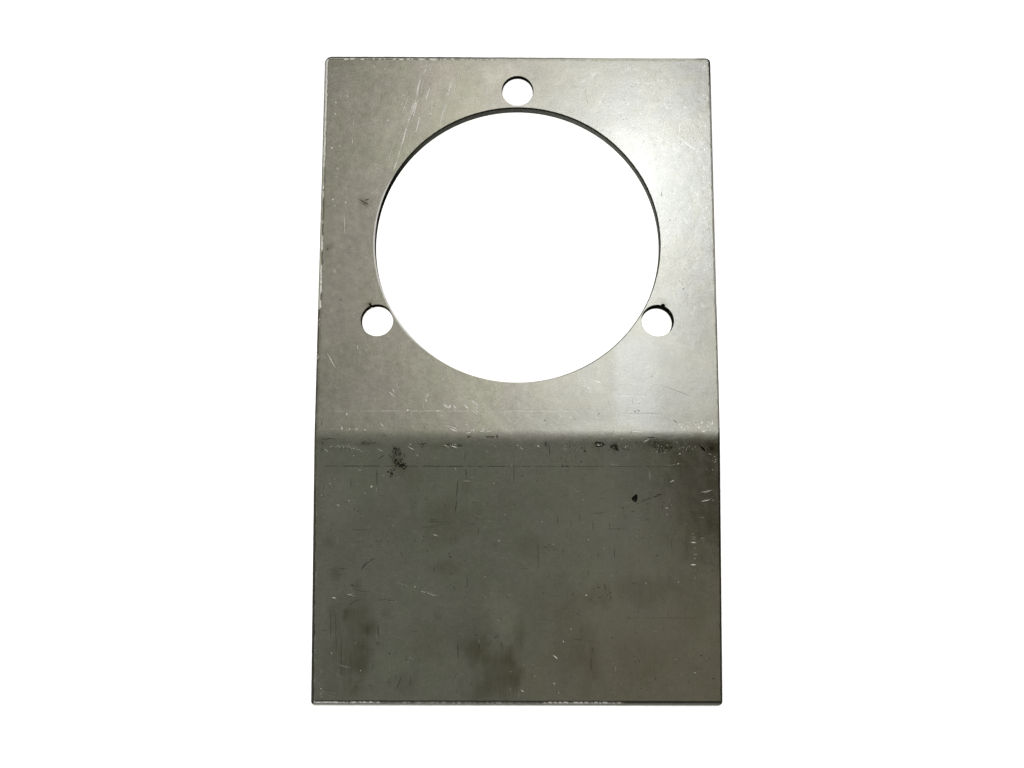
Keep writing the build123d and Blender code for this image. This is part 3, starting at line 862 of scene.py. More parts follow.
CLUSTERS = (
    (-37.81,-6.55,1.58,2.85,34,0.41,0.76,115,-0.95,300),
    (-35.86,-8.42,1.9,1.14,22,0.41,0,0,-0.95,301),
    (-39.09,-10.45,1.08,1.46,16,0.41,0,0,-0.9,302),
    (-38.39,-3.89,0.82,1.42,10,0.28,1.9,118,-0.9,303),
    (-36.98,-4.52,0.82,1.58,9,0.28,1.9,108,-0.85,304),
    (-35.38,-5.92,0.95,1.58,8,0.28,0.63,100,-0.7,305),
    (-29.65,-2,1.9,0.79,14,0.35,0.57,10,-0.75,306),
    (-20.57,-2.3,3.17,0.63,14,0.32,0.76,-15,-0.85,307),
    (-20.57,-2.3,3.17,0.63,10,0.28,0.76,-20,0.7,308),
    (-46.55,-1.72,2.53,0.79,16,0.38,0,0,-0.45,309),
    (-53.75,-1.11,3.17,0.95,10,0.28,0.63,0,-0.35,310),
    (25.57,-2,1.9,0.95,24,0.32,0.57,0,-0.85,311),
    (25.57,-1.94,0.95,0.51,6,0.32,0,0,0.7,312),
    (30.57,-2.84,1.42,1.27,24,0.32,0.63,60,-0.85,313),
    (30.73,-2.06,1.27,0.63,5,0.25,0,0,0.5,314),
    (33.86,-2.68,1.27,0.95,12,0.28,0,0,-0.6,315),
    (33.86,-2.52,1.27,0.95,8,0.25,0,0,0.5,316),
    (40.75,-0.66,2.53,1.42,20,0.28,0.57,-20,-0.6,317),
    (45.43,-2.97,2.85,1.42,44,0.35,0.51,-10,-0.75,318),
    (44.81,-2.35,2.85,1.27,14,0.25,0,0,0.45,319),
    (52.32,-2.71,2.53,1.14,22,0.28,0.44,0,-0.6,320),
    (52.32,-2.65,2.53,1.14,14,0.25,0,0,0.5,321),
    (58.1,-3.1,1.27,1.27,10,0.35,0.95,-42,-0.85,322),
    (61.38,-3.1,1.27,1.11,14,0.41,0.63,0,-0.8,323),
    (61.82,-6.53,0.95,1.27,9,0.28,0,0,0.6,324),
    (20.56,-3.64,1.11,1.11,9,0.28,0,0,-0.6,325),
    (15.09,-3.02,0.95,0.95,8,0.28,0,0,0.5,326),
    (16.34,-2.39,2.53,0.95,10,0.25,0.47,0,-0.4,327),
    (1.01,-2.58,2.85,0.95,9,0.25,0.63,-20,0.5,328),
    (2.58,-1.95,8.23,1.27,20,0.25,0.47,0,-0.4,329),
    (-11.5,-2.44,4.43,1.27,14,0.25,0.47,0,-0.35,330),
    (-6.81,-2.28,2.22,0.95,7,0.25,0,0,0.45,331),
    (6.64,-2.41,1.9,0.79,8,0.25,0.47,-15,0.5,332),
    (-15.18,0.43,0.82,0.28,9,0.38,0.51,0,-0.85,333),
    (-8.23,0.45,1.74,0.35,20,0.38,0.51,0,-0.85,334),
    (-6.35,0.45,0.51,0.44,6,0.38,0,0,-0.9,335),
    (-36.55,0.18,18.99,0.47,16,0.25,0.47,0,-0.35,336),
    (13.53,0.42,12.66,0.63,14,0.25,0.47,0,-0.35,337),
    (-35.74,110.45,3.17,5.06,22,0.22,0.51,105,0.4,338),
    (-37.09,113.22,1.58,1.9,8,0.25,0,0,0.55,339),
    (-27.86,109.08,1.9,2.85,10,0.22,0.63,100,0.5,340),
    (-32.91,95.67,2.22,2.85,12,0.22,0.44,105,0.4,341),
    (-38.7,91.9,1.9,3.8,10,0.19,0.44,110,0.35,342),
    (-22.97,110.48,2.53,3.8,10,0.19,0.51,105,0.35,343),
    (60.86,123.84,1.27,1.27,9,0.32,0.51,-45,0.8,344),
    (61.11,113.74,0.79,3.48,14,0.35,0.44,60,0.75,345),
    (59.53,94.81,2.53,3.17,8,0.25,0,0,0.5,346),
    (54.05,97.54,3.8,3.8,8,0.19,0.63,-30,0.35,347),
    (40.29,113.71,6.96,6.96,16,0.22,0,0,0.4,348),
    (55.9,77.84,4.43,9.5,10,0.22,0,0,0.3,349),
    (-14.72,10.53,7.6,1.9,22,0.22,0.57,40,0.5,350),
    (38.69,8.39,12.66,3.8,26,0.25,0.51,10,-0.4,351),
    (54.31,4.29,6.33,2.53,24,0.28,0.44,60,0.6,352),
    (-30.37,5.73,22.16,3.17,20,0.22,0.47,0,0.35,353),
    (13.56,6.44,18.99,3.17,18,0.22,0.47,0,-0.35,354),
    (-5.28,8.32,37.98,0.38,18,0.19,0.47,0,0.4,355),
    (-53.22,44.41,6.33,18.99,16,0.22,0,0,-0.35,356),
    (-56,94.6,5.06,12.66,14,0.22,0,0,0.4,357),
    (53.96,-31.57,1.9,8.23,14,0.22,0.76,0,0.4,358),
    (7.28,-50.16,47.48,22.16,60,0.19,0,0,-0.3,359),
    (13.47,-68.55,37.98,11.08,40,0.22,0,0,0.35,360),
    (-42.2,-68.64,15.82,11.08,24,0.25,0,0,-0.4,361),
    (17.28,-3.33,3.8,1.9,26,0.28,0.44,90,-0.55,362),
    (17.9,-3.02,3.8,1.58,12,0.25,0,0,0.45,363),
    (9.3,-1.94,1.11,1.27,9,0.25,1.27,75,-0.75,364),
    (-19.32,-3.39,8.23,1.58,16,0.25,0.44,0,-0.4,365),
    (-2.11,-3.68,9.5,1.9,18,0.22,0.44,0,-0.4,366),
    (37.61,-2.67,2.53,1.27,14,0.25,0.44,0,-0.5,367),
    (-56.88,-0.95,3.8,0.95,8,0.28,0.95,5,-0.45,368),
    (-60.93,-2.52,0.79,1.9,10,0.38,0.63,90,-0.7,369),
    (-59.97,-4.4,1.27,1.27,8,0.28,0,0,0.35,370),
    (27.43,12.84,22.16,6.96,26,0.22,0.51,0,0.35,371),
    (14.05,111.93,12.66,9.5,14,0.22,0,0,-0.3,372),
    (60.42,105.1,1.58,9.5,14,0.25,0.38,70,0.45,373),
    (60.27,77.85,0.95,12.66,14,0.25,0.38,80,0.5,374),
    (60.28,44.61,0.95,15.82,12,0.25,0.38,80,0.4,375),
)


rng = np.random.RandomState(20611)


def frame_at(s):
    """Unit normal of the outside face at s, worked out from the bend angle from its middle, for arrays."""
    phi = np.clip(s / SET_BACK, -1.0, 1.0) * HALF_BEND + MID_ANGLE
    return np.stack([np.zeros_like(phi), np.sin(phi), np.cos(phi)], 1)


def place(x, s, d):
    """Unfolded millimetres to row-frame metres."""
    x, s, d = (np.asarray(v, float) for v in (x, s, d))
    n = frame_at(s)
    flat_m = APEX + s[:, None] * U_M - d[:, None] * N_M
    flat_b = APEX + np.abs(s)[:, None] * U_B - d[:, None] * N_B
    bent = BEND_C + (BEND_R - d)[:, None] * n
    p = np.where((s >= SET_BACK)[:, None], flat_m, np.where((s <= -SET_BACK)[:, None], flat_b, bent))
    p = p + np.stack([x, np.zeros_like(x), np.zeros_like(x)], 1)
    return p * 0.001


def turn(s, nx, ns, nd):
    """A direction given across, along s and outward, folded into the row frame."""
    n = frame_at(s)
    along = np.stack([np.zeros(len(n)), n[:, 2], -n[:, 1]], 1)
    v = n * nd[:, None] + along * ns[:, None]
    v[:, 0] += nx
    return v / np.maximum(np.linalg.norm(v, axis=1), 1e-9)[:, None]


def lattice(i, j, seed):
    n = (i * 374761393 + j * 668265263 + seed * 974634777) & 0x7FFFFFFF
    n = ((n ^ (n >> 13)) * 1274126177) & 0x7FFFFFFF
    return ((n ^ (n >> 16)) & 0xFFFF) / 65535.0


def noise(x, y, seed=0):
    """Smooth value noise from 0 to 1, one lattice cell per unit."""
    x, y = np.broadcast_arrays(np.asarray(x, float), np.asarray(y, float))
    i, j = np.floor(x).astype(np.int64), np.floor(y).astype(np.int64)
    u, v = x - i, y - j
    u, v = u * u * (3 - 2 * u), v * v * (3 - 2 * v)
    a = lattice(i, j, seed) * (1 - u) + lattice(i + 1, j, seed) * u
    b = lattice(i, j + 1, seed) * (1 - u) + lattice(i + 1, j + 1, seed) * u
    return a * (1 - v) + b * v


def fractal(x, y, seed=0, octaves=3):
    total, amp, norm = 0.0, 1.0, 0.0
    for k in range(octaves):
        total = total + amp * noise(np.asarray(x) * 2**k, np.asarray(y) * 2**k, seed + 17 * k)
        norm += amp
        amp *= 0.5
    return total / norm


def smooth(a, b, v):
    t = np.clip((v - a) / (b - a), 0.0, 1.0)
    return t * t * (3 - 2 * t)


# ---- vertex store ------------------------------------------------------------
class Store:
    def __init__(self):
        self.cols = {k: [] for k in ("x", "s", "d", "nx", "ns", "nd", "wall", "along", "eb", "ed", "er", "face")}
        self.n = 0
        self.polys, self.flat, self.mk = [], [], []

    def add(self, x, s, d, **kw):
        n = len(x)
        vals = {"x": x, "s": s, "d": d, **kw}
        for k, col in self.cols.items():
            v = vals.get(k, 0.0)
            col.append(np.broadcast_to(np.asarray(v, float), (n,)).copy())
        start = self.n
        self.n += n
        return np.arange(start, start + n)

    def poly(self, rows, flat=False, bright=None, dark=None):
        for r in rows:
            self.polys.append(tuple(int(i) for i in r))
        n = len(rows)
        self.flat.extend([flat] * n if not hasattr(flat, "__len__") else list(flat))
        b = np.zeros(n) if bright is None else bright
        k = np.zeros(n) if dark is None else dark
        self.mk.extend(zip(b, k))


store = Store()


def bridge(upper, lower):
    """Quads between two closed rings of equal length, facing away from the metal when the ring runs with it on the left."""
    n = len(upper)
    j = (np.arange(n) + 1) % n
    store.poly(np.stack([upper, lower, lower[j], upper[j]], 1))


# ---- outer edge --------------------------------------------------------------
STEP = 0.5
LINES_S = [-SET_BACK, -1.8, -0.9, 0.0, 0.9, 1.8, SET_BACK]
EDGE_CLEAR = 2.1
side_s = np.concatenate([np.arange(S_START + EDGE_CLEAR, S_END - EDGE_CLEAR, STEP), [S_END - EDGE_CLEAR]])
side_s = side_s[np.min(np.abs(side_s[:, None] - np.array(LINES_S)[None, :]), axis=1) > 0.2]
side_s = np.sort(np.concatenate([side_s, LINES_S]))
end_x = np.linspace(-HALF_W + EDGE_CLEAR, HALF_W - EDGE_CLEAR, int((2 * HALF_W - 2 * EDGE_CLEAR) / STEP))
N_ARC = 8
# edge roll-over of each side, width across the face and drop, in mm: right, top, left, bottom
ROLL_W = (0.80, 1.30, 1.32, 1.72)
ROLL_H = (0.45, 0.45, 0.50, 0.60)


def shear(k, st):
    """How far the worn outline of side k stands inside the nominal one: the top is cut a little off square."""
    if k == 1:
        return 0.02 + 0.36 * smooth(-60.0, 66.0, st)
    return np.full(len(st), 0.01)


def outline(inset, depth, jit, wall_in=0.0):
    """One ring of the outline.  inset and depth are per side (right, top, left, bottom); jit scales each by its own edge noise."""
    parts = []
    sides = (
        ("R", side_s), ("TR", None), ("T", end_x[::-1]), ("TL", None),
        ("L", side_s[::-1]), ("BL", None), ("B", end_x), ("BR", None),
    )
    corner_of = {"TR": (0, 1, 1, 1, 0.0), "TL": (2, 1, -1, 1, 90.0), "BL": (2, 3, -1, -1, 180.0), "BR": (0, 3, 1, -1, 270.0)}
    length = 0.0
    for name, st in sides:
        if st is not None:
            k = "RTLB".index(name)
            n = len(st)
            if name in "RL":
                wob = edge_noise(k, st)
                i = inset[k] * (1 + jit * wob[0]) + wall_in * wob[2] + shear(k, st)
                d = depth[k] * (1 + jit * wob[1])
                sgn = 1 if name == "R" else -1
                x, s = sgn * (HALF_W - i), st
                nx, ns = np.full(n, float(sgn)), np.zeros(n)
            else:
                wob = edge_noise(k, st)
                i = inset[k] * (1 + jit * wob[0]) + wall_in * wob[2] + shear(k, st)
                d = depth[k] * (1 + jit * wob[1])
                sgn = 1 if name == "T" else -1
                x, s = st, (S_END - i if name == "T" else S_START + i)
                nx, ns = np.zeros(n), np.full(n, float(sgn))
            side = np.full(n, float(k))
        else:
            kx, ks, sx, ss, a0 = corner_of[name]
            ix = inset[kx] + float(shear(kx, np.array([S_END if ss > 0 else S_START]))[0])
            is_ = inset[ks] + float(shear(ks, np.array([sx * HALF_W]))[0])
            r = max(CORNER_R[name] - 0.5 * (ix + is_), 0.5)
            t = (np.arange(N_ARC) + 0.5) / N_ARC
            ang = np.radians(a0 + 90.0 * t)
            cx = sx * (HALF_W - ix - r)
            cs = (S_END - is_ - r) if ss > 0 else (S_START + is_ + r)
            x, s = cx + r * np.cos(ang), cs + r * np.sin(ang)
            nx, ns = np.cos(ang), np.sin(ang)
            w = t if name in ("TR", "BL") else 1 - t
            d = depth[kx] * (1 - w) + depth[ks] * w
            side = np.where(w < 0.5, float(kx), float(ks))
        parts.append((x, s, np.broadcast_to(d, x.shape), nx, ns, side))
    return [np.concatenate(c) for c in zip(*parts)]


NICKS = {  # side: (position along it, half length, extra width, extra drop)
    0: ((124.2, 1.3, 0.9, 0.5), (117.5, 0.8, 0.5, 0.3), (113.5, 0.7, 0.5, 0.3), (110.8, 0.6, 0.6, 0.3), (96.5, 0.9, 0.35, 0.3),
        (82.0, 0.8, 0.5, 0.3), (71.0, 0.6, 0.45, 0.2), (60.5, 0.9, 0.5, 0.3), (52.0, 0.5, 0.4, 0.2), (44.0, 0.7, 0.5, 0.3),
        (36.5, 0.5, 0.35, 0.2), (29.0, 1.0, 0.5, 0.3), (20.0, 0.6, 0.4, 0.2), (11.5, 0.8, 0.4, 0.3), (3.2, 0.9, 0.5, 0.4),
        (-14.0, 0.7, 0.4, 0.3), (-33.0, 0.6, 0.4, 0.2), (-58.0, 0.8, 0.3, 0.2), (-77.5, 0.9, 0.4, 0.3)),
    1: ((-52.0, 0.9, 0.5, 0.3), (-30.0, 0.6, 0.4, 0.2), (-11.0, 0.8, 0.4, 0.2), (9.0, 0.6, 0.5, 0.3), (28.0, 1.0, 0.5, 0.3), (47.0, 0.7, 0.5, 0.3)),
    2: ((121.0, 0.8, 0.3, 0.2), (99.0, 0.9, 0.35, 0.3), (84.0, 0.6, 0.3, 0.2), (61.5, 1.2, 0.45, 0.4), (40.0, 0.7, 0.25, 0.2),
        (15.0, 0.8, 0.3, 0.2), (-2.0, 0.6, 0.3, 0.2), (-29.5, 0.7, 0.4, 0.3), (-47.0, 0.5, 0.4, 0.3), (-60.0, 0.6, 0.4, 0.3), (-78.0, 0.9, 0.4, 0.3)),
    3: ((-57.5, 2.2, 0.4, 0.3), (-49.0, 0.5, 0.4, 0.3), (-44.5, 0.5, 0.3, 0.2), (10.5, 2.6, 0.3, 0.2), (24.0, 5.5, 0.25, 0.2), (46.0, 0.8, 0.3, 0.2)),
}


def edge_noise(k, st):
    """Width, drop and wall wobble along side k at stations st."""
    a = (0.32, 0.26, 0.42, 0.10)[k] * (fractal(st * 0.55, 3.1 + k, 40 + k, 4) - 0.5) + (0.12, 0.1, 0.16, 0.04)[k] * (noise(st * 1.9, 0.5, 50 + k) - 0.5)
    b = 0.7 * (fractal(st * 0.7, 9.3 + k, 60 + k, 3) - 0.5)
    c = fractal(st * 1.3, 5.0 + k, 70 + k, 3)
    for pos, half, ew, ed in NICKS[k]:
        bump = np.clip(1 - ((st - pos) / half) ** 2, 0, None)
        a = a + (0.4, 0.3, 0.4, 0.08)[k] * ew * bump
        b = b + 0.6 * ed * bump
    return a, b, c


def edge_paint(side, x, s, e):
    """Painted highlight and painted shade as bright and dark shares of the edge roll-over, over real nicks and wear,
    broken up by a grain; the third value, +1 on the bottom and -1 on the upper left, sets the colour of the bright
    share.

    e is 0 at the face and 1 at the outermost line as seen square on; o is the same in 0.32 mm steps inward from the
    outermost line.
    """
    pos = np.where((side == 0) | (side == 2), s, x)
    o = (1 - e) * np.array(ROLL_W)[side.astype(int)] / 0.3165
    grain = noise(pos * 1.9, o * 1.4 + side * 7, 81)
    fine = noise(pos * 3.1, o * 1.2 + side * 9, 86)
    coarse = fractal(pos * 0.42, side * 5.0, 82, 3)
    slow = fractal(pos * 0.12, 3.0 + side * 5.0, 83, 2)
    bright, dark = np.zeros_like(pos), np.zeros_like(pos)

    def band(a, b, c, d):
        return smooth(a, b, o) * (1 - smooth(c, d, o))

    # left, motor end: grey outer band, cream line that breaks up half way down, thin dark line inside; the cream line
    # is painted highlight on the worn edge, the grey band and dark line painted shade
    m = (side == 2) & (s > 42)
    hi = smooth(80, 96, s)
    line = np.clip(hi * (0.72 + 0.5 * smooth(0.35, 0.6, fine)) + (1 - hi) * smooth(0.40, 0.58, coarse) * (0.7 + 0.5 * smooth(0.4, 0.6, fine)), 0, 1)
    bright = np.where(m, band(1.2, 1.8, 3.0, 3.7) * (0.84 + 0.16 * grain) * line, bright)
    dark = np.where(m, np.maximum((0.50 + 0.30 * grain) * (1 - smooth(1.1, 1.8, o)), 0.36 * band(3.5, 3.9, 4.1, 4.25)), dark)
    dark = np.where(m, np.maximum(dark, 0.45 * (1 - line) * band(1.6, 2.2, 3.0, 3.8)), dark)
    # left, lower part: pale outermost line, black line, short light dashes inside; the black line is painted shade, the
    # pale line and dashes painted highlight
    m = (side == 2) & (s <= 42)
    low = np.clip((8.0 - s) / 50.0, 0, 1)
    bright = np.where(m, band(2.5, 2.8, 3.5, 3.9) * (0.07 + 0.5 * smooth(0.58, 0.76, coarse)) * (s < 2), bright)
    speck = smooth(0.74, 0.84, fine) * smooth(0.45, 0.60, slow) * smooth(-36.0, -24.0, s)
    bright = np.where(m, np.maximum(bright, 0.6 * speck * band(1.3, 1.8, 2.6, 3.0)), bright)
    dark = np.where(m, (0.95 + 0.05 * low) * (1 - smooth(1.9 + 0.3 * low, 2.5 + 0.5 * low, o)) * (1 - 0.8 * speck), dark)
    # right: dark line of painted shade outermost, lighter nicks inside it; the blank leg has a wider brown-black line
    # of painted shade
    m = (side == 0) & (s > 42)
    bright = np.where(m, band(0.9, 1.3, 2.0, 2.35) * smooth(0.56, 0.74, grain) * 0.8, bright)
    tip = smooth(112.0, 122.0, s)
    dark = np.where(m, np.maximum((0.80 + 0.20 * tip) * (1 - smooth(0.45 + 0.95 * tip, 1.0 + 1.1 * tip, o)), 0.16 * (1 - smooth(1.8, 2.3, o))), dark)
    bright = np.where(m & (tip > 0.5), 0.0, bright)
    m = (side == 0) & (s <= 42) & (s > 2)
    bright = np.where(m, band(1.2, 1.6, 2.1, 2.4) * smooth(0.60, 0.76, grain) * 0.7, bright)
    dark = np.where(m, np.maximum(0.93 * (1 - smooth(0.85, 1.5, o)), 0.12 * (1 - smooth(1.7, 2.2, o))), dark)
    m = (side == 0) & (s <= 2)
    dark = np.where(m, 0.97 * (1 - smooth(1.75, 2.2, o)), dark)
    # top: dark line of painted shade outermost, strongest on the left, and a nicked white line of painted highlight
    # inside it
    m = side == 1
    left = 1 - smooth(-26.0, 6.0, x)
    right = smooth(10.0, 30.0, x)
    nick = smooth(0.52, 0.62, noise(pos * 1.5, 3.0, 86)) * (0.6 + 0.4 * smooth(0.3, 0.6, slow)) * smooth(-61.0, -57.0, x)
    bright = np.where(m, band(2.5, 2.9, 3.7, 4.05) * nick * (1.0 - 0.55 * (1 - left)), bright)
    dark = np.where(m, (0.95 - 0.28 * (1 - left) - 0.40 * right + 0.5 * smooth(56.0, 61.0, x)) * (1 - smooth(1.9, 2.7, o)), dark)
    dark = np.where(m, np.maximum(dark, 0.42 * left * band(2.0, 2.4, 3.8, 4.2) * (1 - nick)), dark)
    # bottom: painted highlight as a soft light grey outermost, then a mid grey strip with a worn white line of painted
    # highlight, and a dark line of painted shade inside
    m = side == 3
    nick = smooth(0.40, 0.66, fractal(pos * 2.3, 41.0, 84, 2))
    zone = np.maximum(smooth(-52.0, -50.5, x) * (1 - smooth(-43.5, -42.0, x)), smooth(7.5, 9.5, x) * (1 - smooth(31.0, 34.0, x)))
    line = np.clip((1 - smooth(-57.5, -50.0, x)) * (0.6 + 0.4 * nick) + zone * (0.35 + 0.65 * nick) + (0.16 + 0.34 * nick) * (1 - smooth(-10.0, 20.0, x)), 0, 1)
    bright = np.where(m, np.maximum(0.31, band(2.7, 3.1, 4.0, 4.4) * line * 0.95), bright)
    dark = np.where(m, np.maximum(np.maximum(0.46 * (1 - smooth(1.0, 1.5, o)), 0.92 * band(1.0, 1.5, 2.5, 3.0)), np.maximum((0.80 + 0.06 * smooth(0.0, 40.0, x)) * band(2.3, 2.7, 4.1, 4.5) * (1 - line), 0.97 * band(4.3, 4.7, 5.2, 5.4))), dark)
    inner = (e > 0.001).astype(float)
    return np.clip(bright, 0, 1) * inner, np.clip(dark, 0, 1) * inner, ((side == 3) * 1.0 - 1.0 * ((side == 2) & (s > 42))) * inner


def add_ring(ring, wall, band=None, nrm=None, face=0.0):
    x, s, d, nx, ns, side = ring
    step = np.hypot(np.diff(x, append=x[0]), np.diff(s, append=s[0]))
    along = np.concatenate([[0.0], np.cumsum(step)[:-1]])
    if band is None:
        eb = ed = er = np.zeros_like(x)
    else:
        eb, ed, er = edge_paint(side, x, s, np.full_like(x, band))
    ho, up = nrm
    return store.add(x, s, d, nx=nx * ho, ns=ns * ho, nd=up, wall=wall, along=along, eb=eb, ed=ed, er=er, face=face)


rings = []
PHIS = (0.0, 4.0, 9.0, 15.0, 21.5, 28.5, 36.0, 44.5, 54.5, 68.0, 90.0)
for q, phi in enumerate(PHIS):
    f = math.radians(phi)
    ins = [w * (1 - math.sin(f)) for w in ROLL_W]
    dep = [h * (1 - math.cos(f)) for h in ROLL_H]
    ring = outline(ins, dep, 1.0, wall_in=0.03 * math.sin(f))
    ho, up = 0.42 * math.sin(f), math.cos(f)
    if phi == 90.0:
        ho, up = 1.0, 0.12
    wall = float(smooth(0.93, 1.0, np.float64(math.sin(f))))
    rings.append(add_ring(ring, wall * 0.8, band=math.sin(f), nrm=(ho, up), face=1.0 if q == 0 else 0.0))
ring_top = outline([w for w in ROLL_W], [0.0] * 4, 1.0)
WALL_D = (0.95, 1.6, 2.4, 3.2, 3.9, THICK - 0.25)
for q, dd in enumerate(WALL_D):
    lean = 0.02 + 0.03 * q / 5.0
    ring = outline([lean] * 4, [dd] * 4, 0.0, wall_in=0.035)
    rings.append(add_ring(ring, 1.0, nrm=(1.0, 0.0)))
for q, phi in enumerate((45.0, 90.0)):
    f = math.radians(phi)
    ring = outline([0.05 + 0.25 * (1 - math.cos(f))] * 4, [THICK - 0.25 + 0.25 * math.sin(f)] * 4, 0.0, wall_in=0.03)
    rings.append(add_ring(ring, 0.5 * (1 - q), nrm=(math.cos(f), -math.sin(f)), face=-1.0 if q else 0.0))
for a, b in zip(rings, rings[1:]):
    bridge(a, b)
outer_top, outer_bottom = rings[0], rings[-1]


# ---- holes ---------------------------------------------------------------------
def hole_points(cx, cs, r, notch, n):
    """Clockwise outline of a hole, with its lead-in notch, and outward-into-metal directions."""
    ang = np.linspace(0, 2 * math.pi, n, endpoint=False)
    if notch is None:
        return cx + r * np.cos(-ang), cs + r * np.sin(-ang), np.cos(-ang), np.sin(-ang)
    direc, w, dep = notch
    e, g = np.array([math.cos(math.radians(direc)), math.sin(math.radians(direc))]), None
    g = np.array([-e[1], e[0]])
    half = math.asin(w / 2 / r)
    # counter-clockwise first, starting just past the notch
    a0 = math.radians(direc) + half
    arc = np.linspace(a0, a0 + 2 * math.pi - 2 * half, n)
    pts = [np.array([r * math.cos(a), r * math.sin(a)]) for a in arc]
    reach, rr = r + dep, w * 0.35
    side = -1
    pts += [e * (r + dep * 0.35) + g * (-w / 2), e * (reach - rr) + g * (-w / 2)]
    for t in (30, 60, 90):
        f = math.radians(t)
        pts.append(e * (reach - rr + rr * math.sin(f)) + g * (-(w / 2 - rr) - rr * math.cos(f)))
    for t in (0, 30, 60):
        f = math.radians(t)
        pts.append(e * (reach - rr + rr * math.cos(f)) + g * ((w / 2 - rr) + rr * math.sin(f)))
    pts += [e * (reach - rr) + g * (w / 2), e * (r + dep * 0.35) + g * (w / 2)]
    p = np.array(pts)[::-1]
    tan = np.roll(p, -1, 0) - np.roll(p, 1, 0)
    tan /= np.linalg.norm(tan, axis=1)[:, None]
    nrm = np.stack([-tan[:, 1], tan[:, 0]], 1)
    # clockwise travel keeps the metal on the left
    return cx + p[:, 0], cs + p[:, 1], nrm[:, 0], nrm[:, 1]


def rim_width(ang):
    """Width of the pilot's rim bands by direction: a cream line of painted highlight on the left, a fine dark line of
    painted shade on the right and below.
    """
    left = smooth(146, 160, ang) * (1 - smooth(218, 238, ang))
    right = np.maximum(smooth(262, 300, ang), 1 - smooth(24, 44, ang))
    return left, right


def rim_paint(kind, ang, band):
    # pilot rim: painted highlight on the left, painted shade on the right and below; bolt rims: painted shade all round
    grain = noise(ang * 1.3, band * 2.0, 90)
    if kind == "pilot":
        left, right = rim_width(ang)
        return left * (0.86 + 0.14 * grain), np.maximum(0.98 * right, 0.7 * (1 - left) * (band > 0.3))
    return np.zeros_like(ang), 0.5 + 0.3 * grain


def cut_hole(cx, cs, r, notch, n, ch_out, ch_in, kind, taper, shade_depth=0.5):
    x, s, ox, os_ = hole_points(cx, cs, r, notch, n)
    rel = np.degrees(np.arctan2(s - cs, x - cx)) % 360.0
    step = np.hypot(np.diff(x, append=x[0]), np.diff(s, append=s[0]))
    along = 900.0 + np.concatenate([[0.0], np.cumsum(step)[:-1]]) + cx
    wob = 0.012 * (fractal(along * 0.8, 1.0, 93, 3) - 0.5)
    out = []
    wide = np.full(len(x), ch_out)
    # painted shade code on the bolt rims
    soot_shade_glow = 0.0 if kind == "pilot" else 0.9
    if kind == "pilot":
        left, right = rim_width(rel)
        wide = ch_out + 0.44 * left + 0.16 * right
    levels = [(1.0, 0.0, 0.0), (0.92, 0.01, 0.06), (0.45, 0.12, 0.25), (0.12, 0.45, 0.6), (0.0, 1.0, 1.0)]
    for wk, dk, band in levels:
        inset, dd = wide * wk, ch_out * dk + 0.0 * wide
        b, k = rim_paint(kind, rel, band)
        f = math.radians(90 * band)
        ho, up = math.sin(f), math.cos(f)
        if band == 1.0:
            ho, up = 1.0, 0.05
        # rim rows: the pilot's left rim carries the cream painted highlight, the bolt rims the painted shade code
        out.append(store.add(x + ox * (inset + wob), s + os_ * (inset + wob), dd, nx=-ox * ho, ns=-os_ * ho, nd=up, wall=1.0 if band == 1 else 0.0,
                             along=along, eb=b * (1 if 0 < band < 1 else 0), ed=k * (1 if band > 0 else 0), er=soot_shade_glow if kind == "bolt" else -left * (1 if 0 < band < 1 else 0), face=1.0 if band == 0 else 0.0))
    rad = np.radians(rel)
    rx, rs = cx + r * np.cos(rad), cs + r * np.sin(rad)
    qx, qs = -np.cos(rad), -np.sin(rad)

    def down(k):
        """The outline part way down: the cut narrows, and the lead-in notch fills with slag."""
        m = float(smooth(0.15, 0.75, np.float64(k)))
        return x * (1 - m) + rx * m + qx * taper * k, s * (1 - m) + rs * m + qs * taper * k

    for q, t in enumerate(sorted((0.1, 0.22, 0.36, shade_depth - 0.05, shade_depth + 0.05, 0.74, 0.92))):
        w2 = 0.02 * (fractal(along * 1.4, q * 1.7, 95, 3) - 0.5)
        ax, as_ = down(t)
        # painted shade on the pilot's left wall; in the bolt holes painted shade over the upper share of the depth and
        # painted light, near white, below it
        soot_shade_glow = 1.0 * smooth(128, 160, rel) * (1 - smooth(212, 242, rel))
        if kind == "bolt":
            soot_shade_glow = 0.9 if t < shade_depth else -1.0
        out.append(store.add(ax - qx * w2, as_ - qs * w2, THICK * t, nx=qx, ns=qs, nd=0.0, wall=1.0, along=along, er=soot_shade_glow))
    for q, (inset, dd) in enumerate(((0.0, THICK - ch_in), (ch_in, THICK))):
        ho, up = (1.0, -0.1) if q == 0 else (0.0, -1.0)
        ax, as_ = down(1.0)
        out.append(store.add(ax - qx * inset, as_ - qs * inset, dd, nx=qx * ho, ns=qs * ho, nd=up, wall=1.0 - q, along=along, face=-1.0 if q else 0.0, er=soot_shade_glow))
    for a, b in zip(out, out[1:]):
        bridge(a, b)
    return out[0], out[-1]


holes = [cut_hole(0.0, PILOT_S, PILOT_R - 0.09, None, 420, 0.10, 0.15, "pilot", 0.0)]
# share of the depth in each bolt hole painted near black as shade; below it the drilled wall is painted near white, as
# painted light
BOLT_SHADE_DEPTH = (0.42, 0.55, 0.84)
for (cx, cs, notch), shade_depth in zip(BOLTS, BOLT_SHADE_DEPTH):
    holes.append(cut_hole(cx, cs, BOLT_R, notch, 84, 0.10, 0.10, "bolt", 0.26, shade_depth))


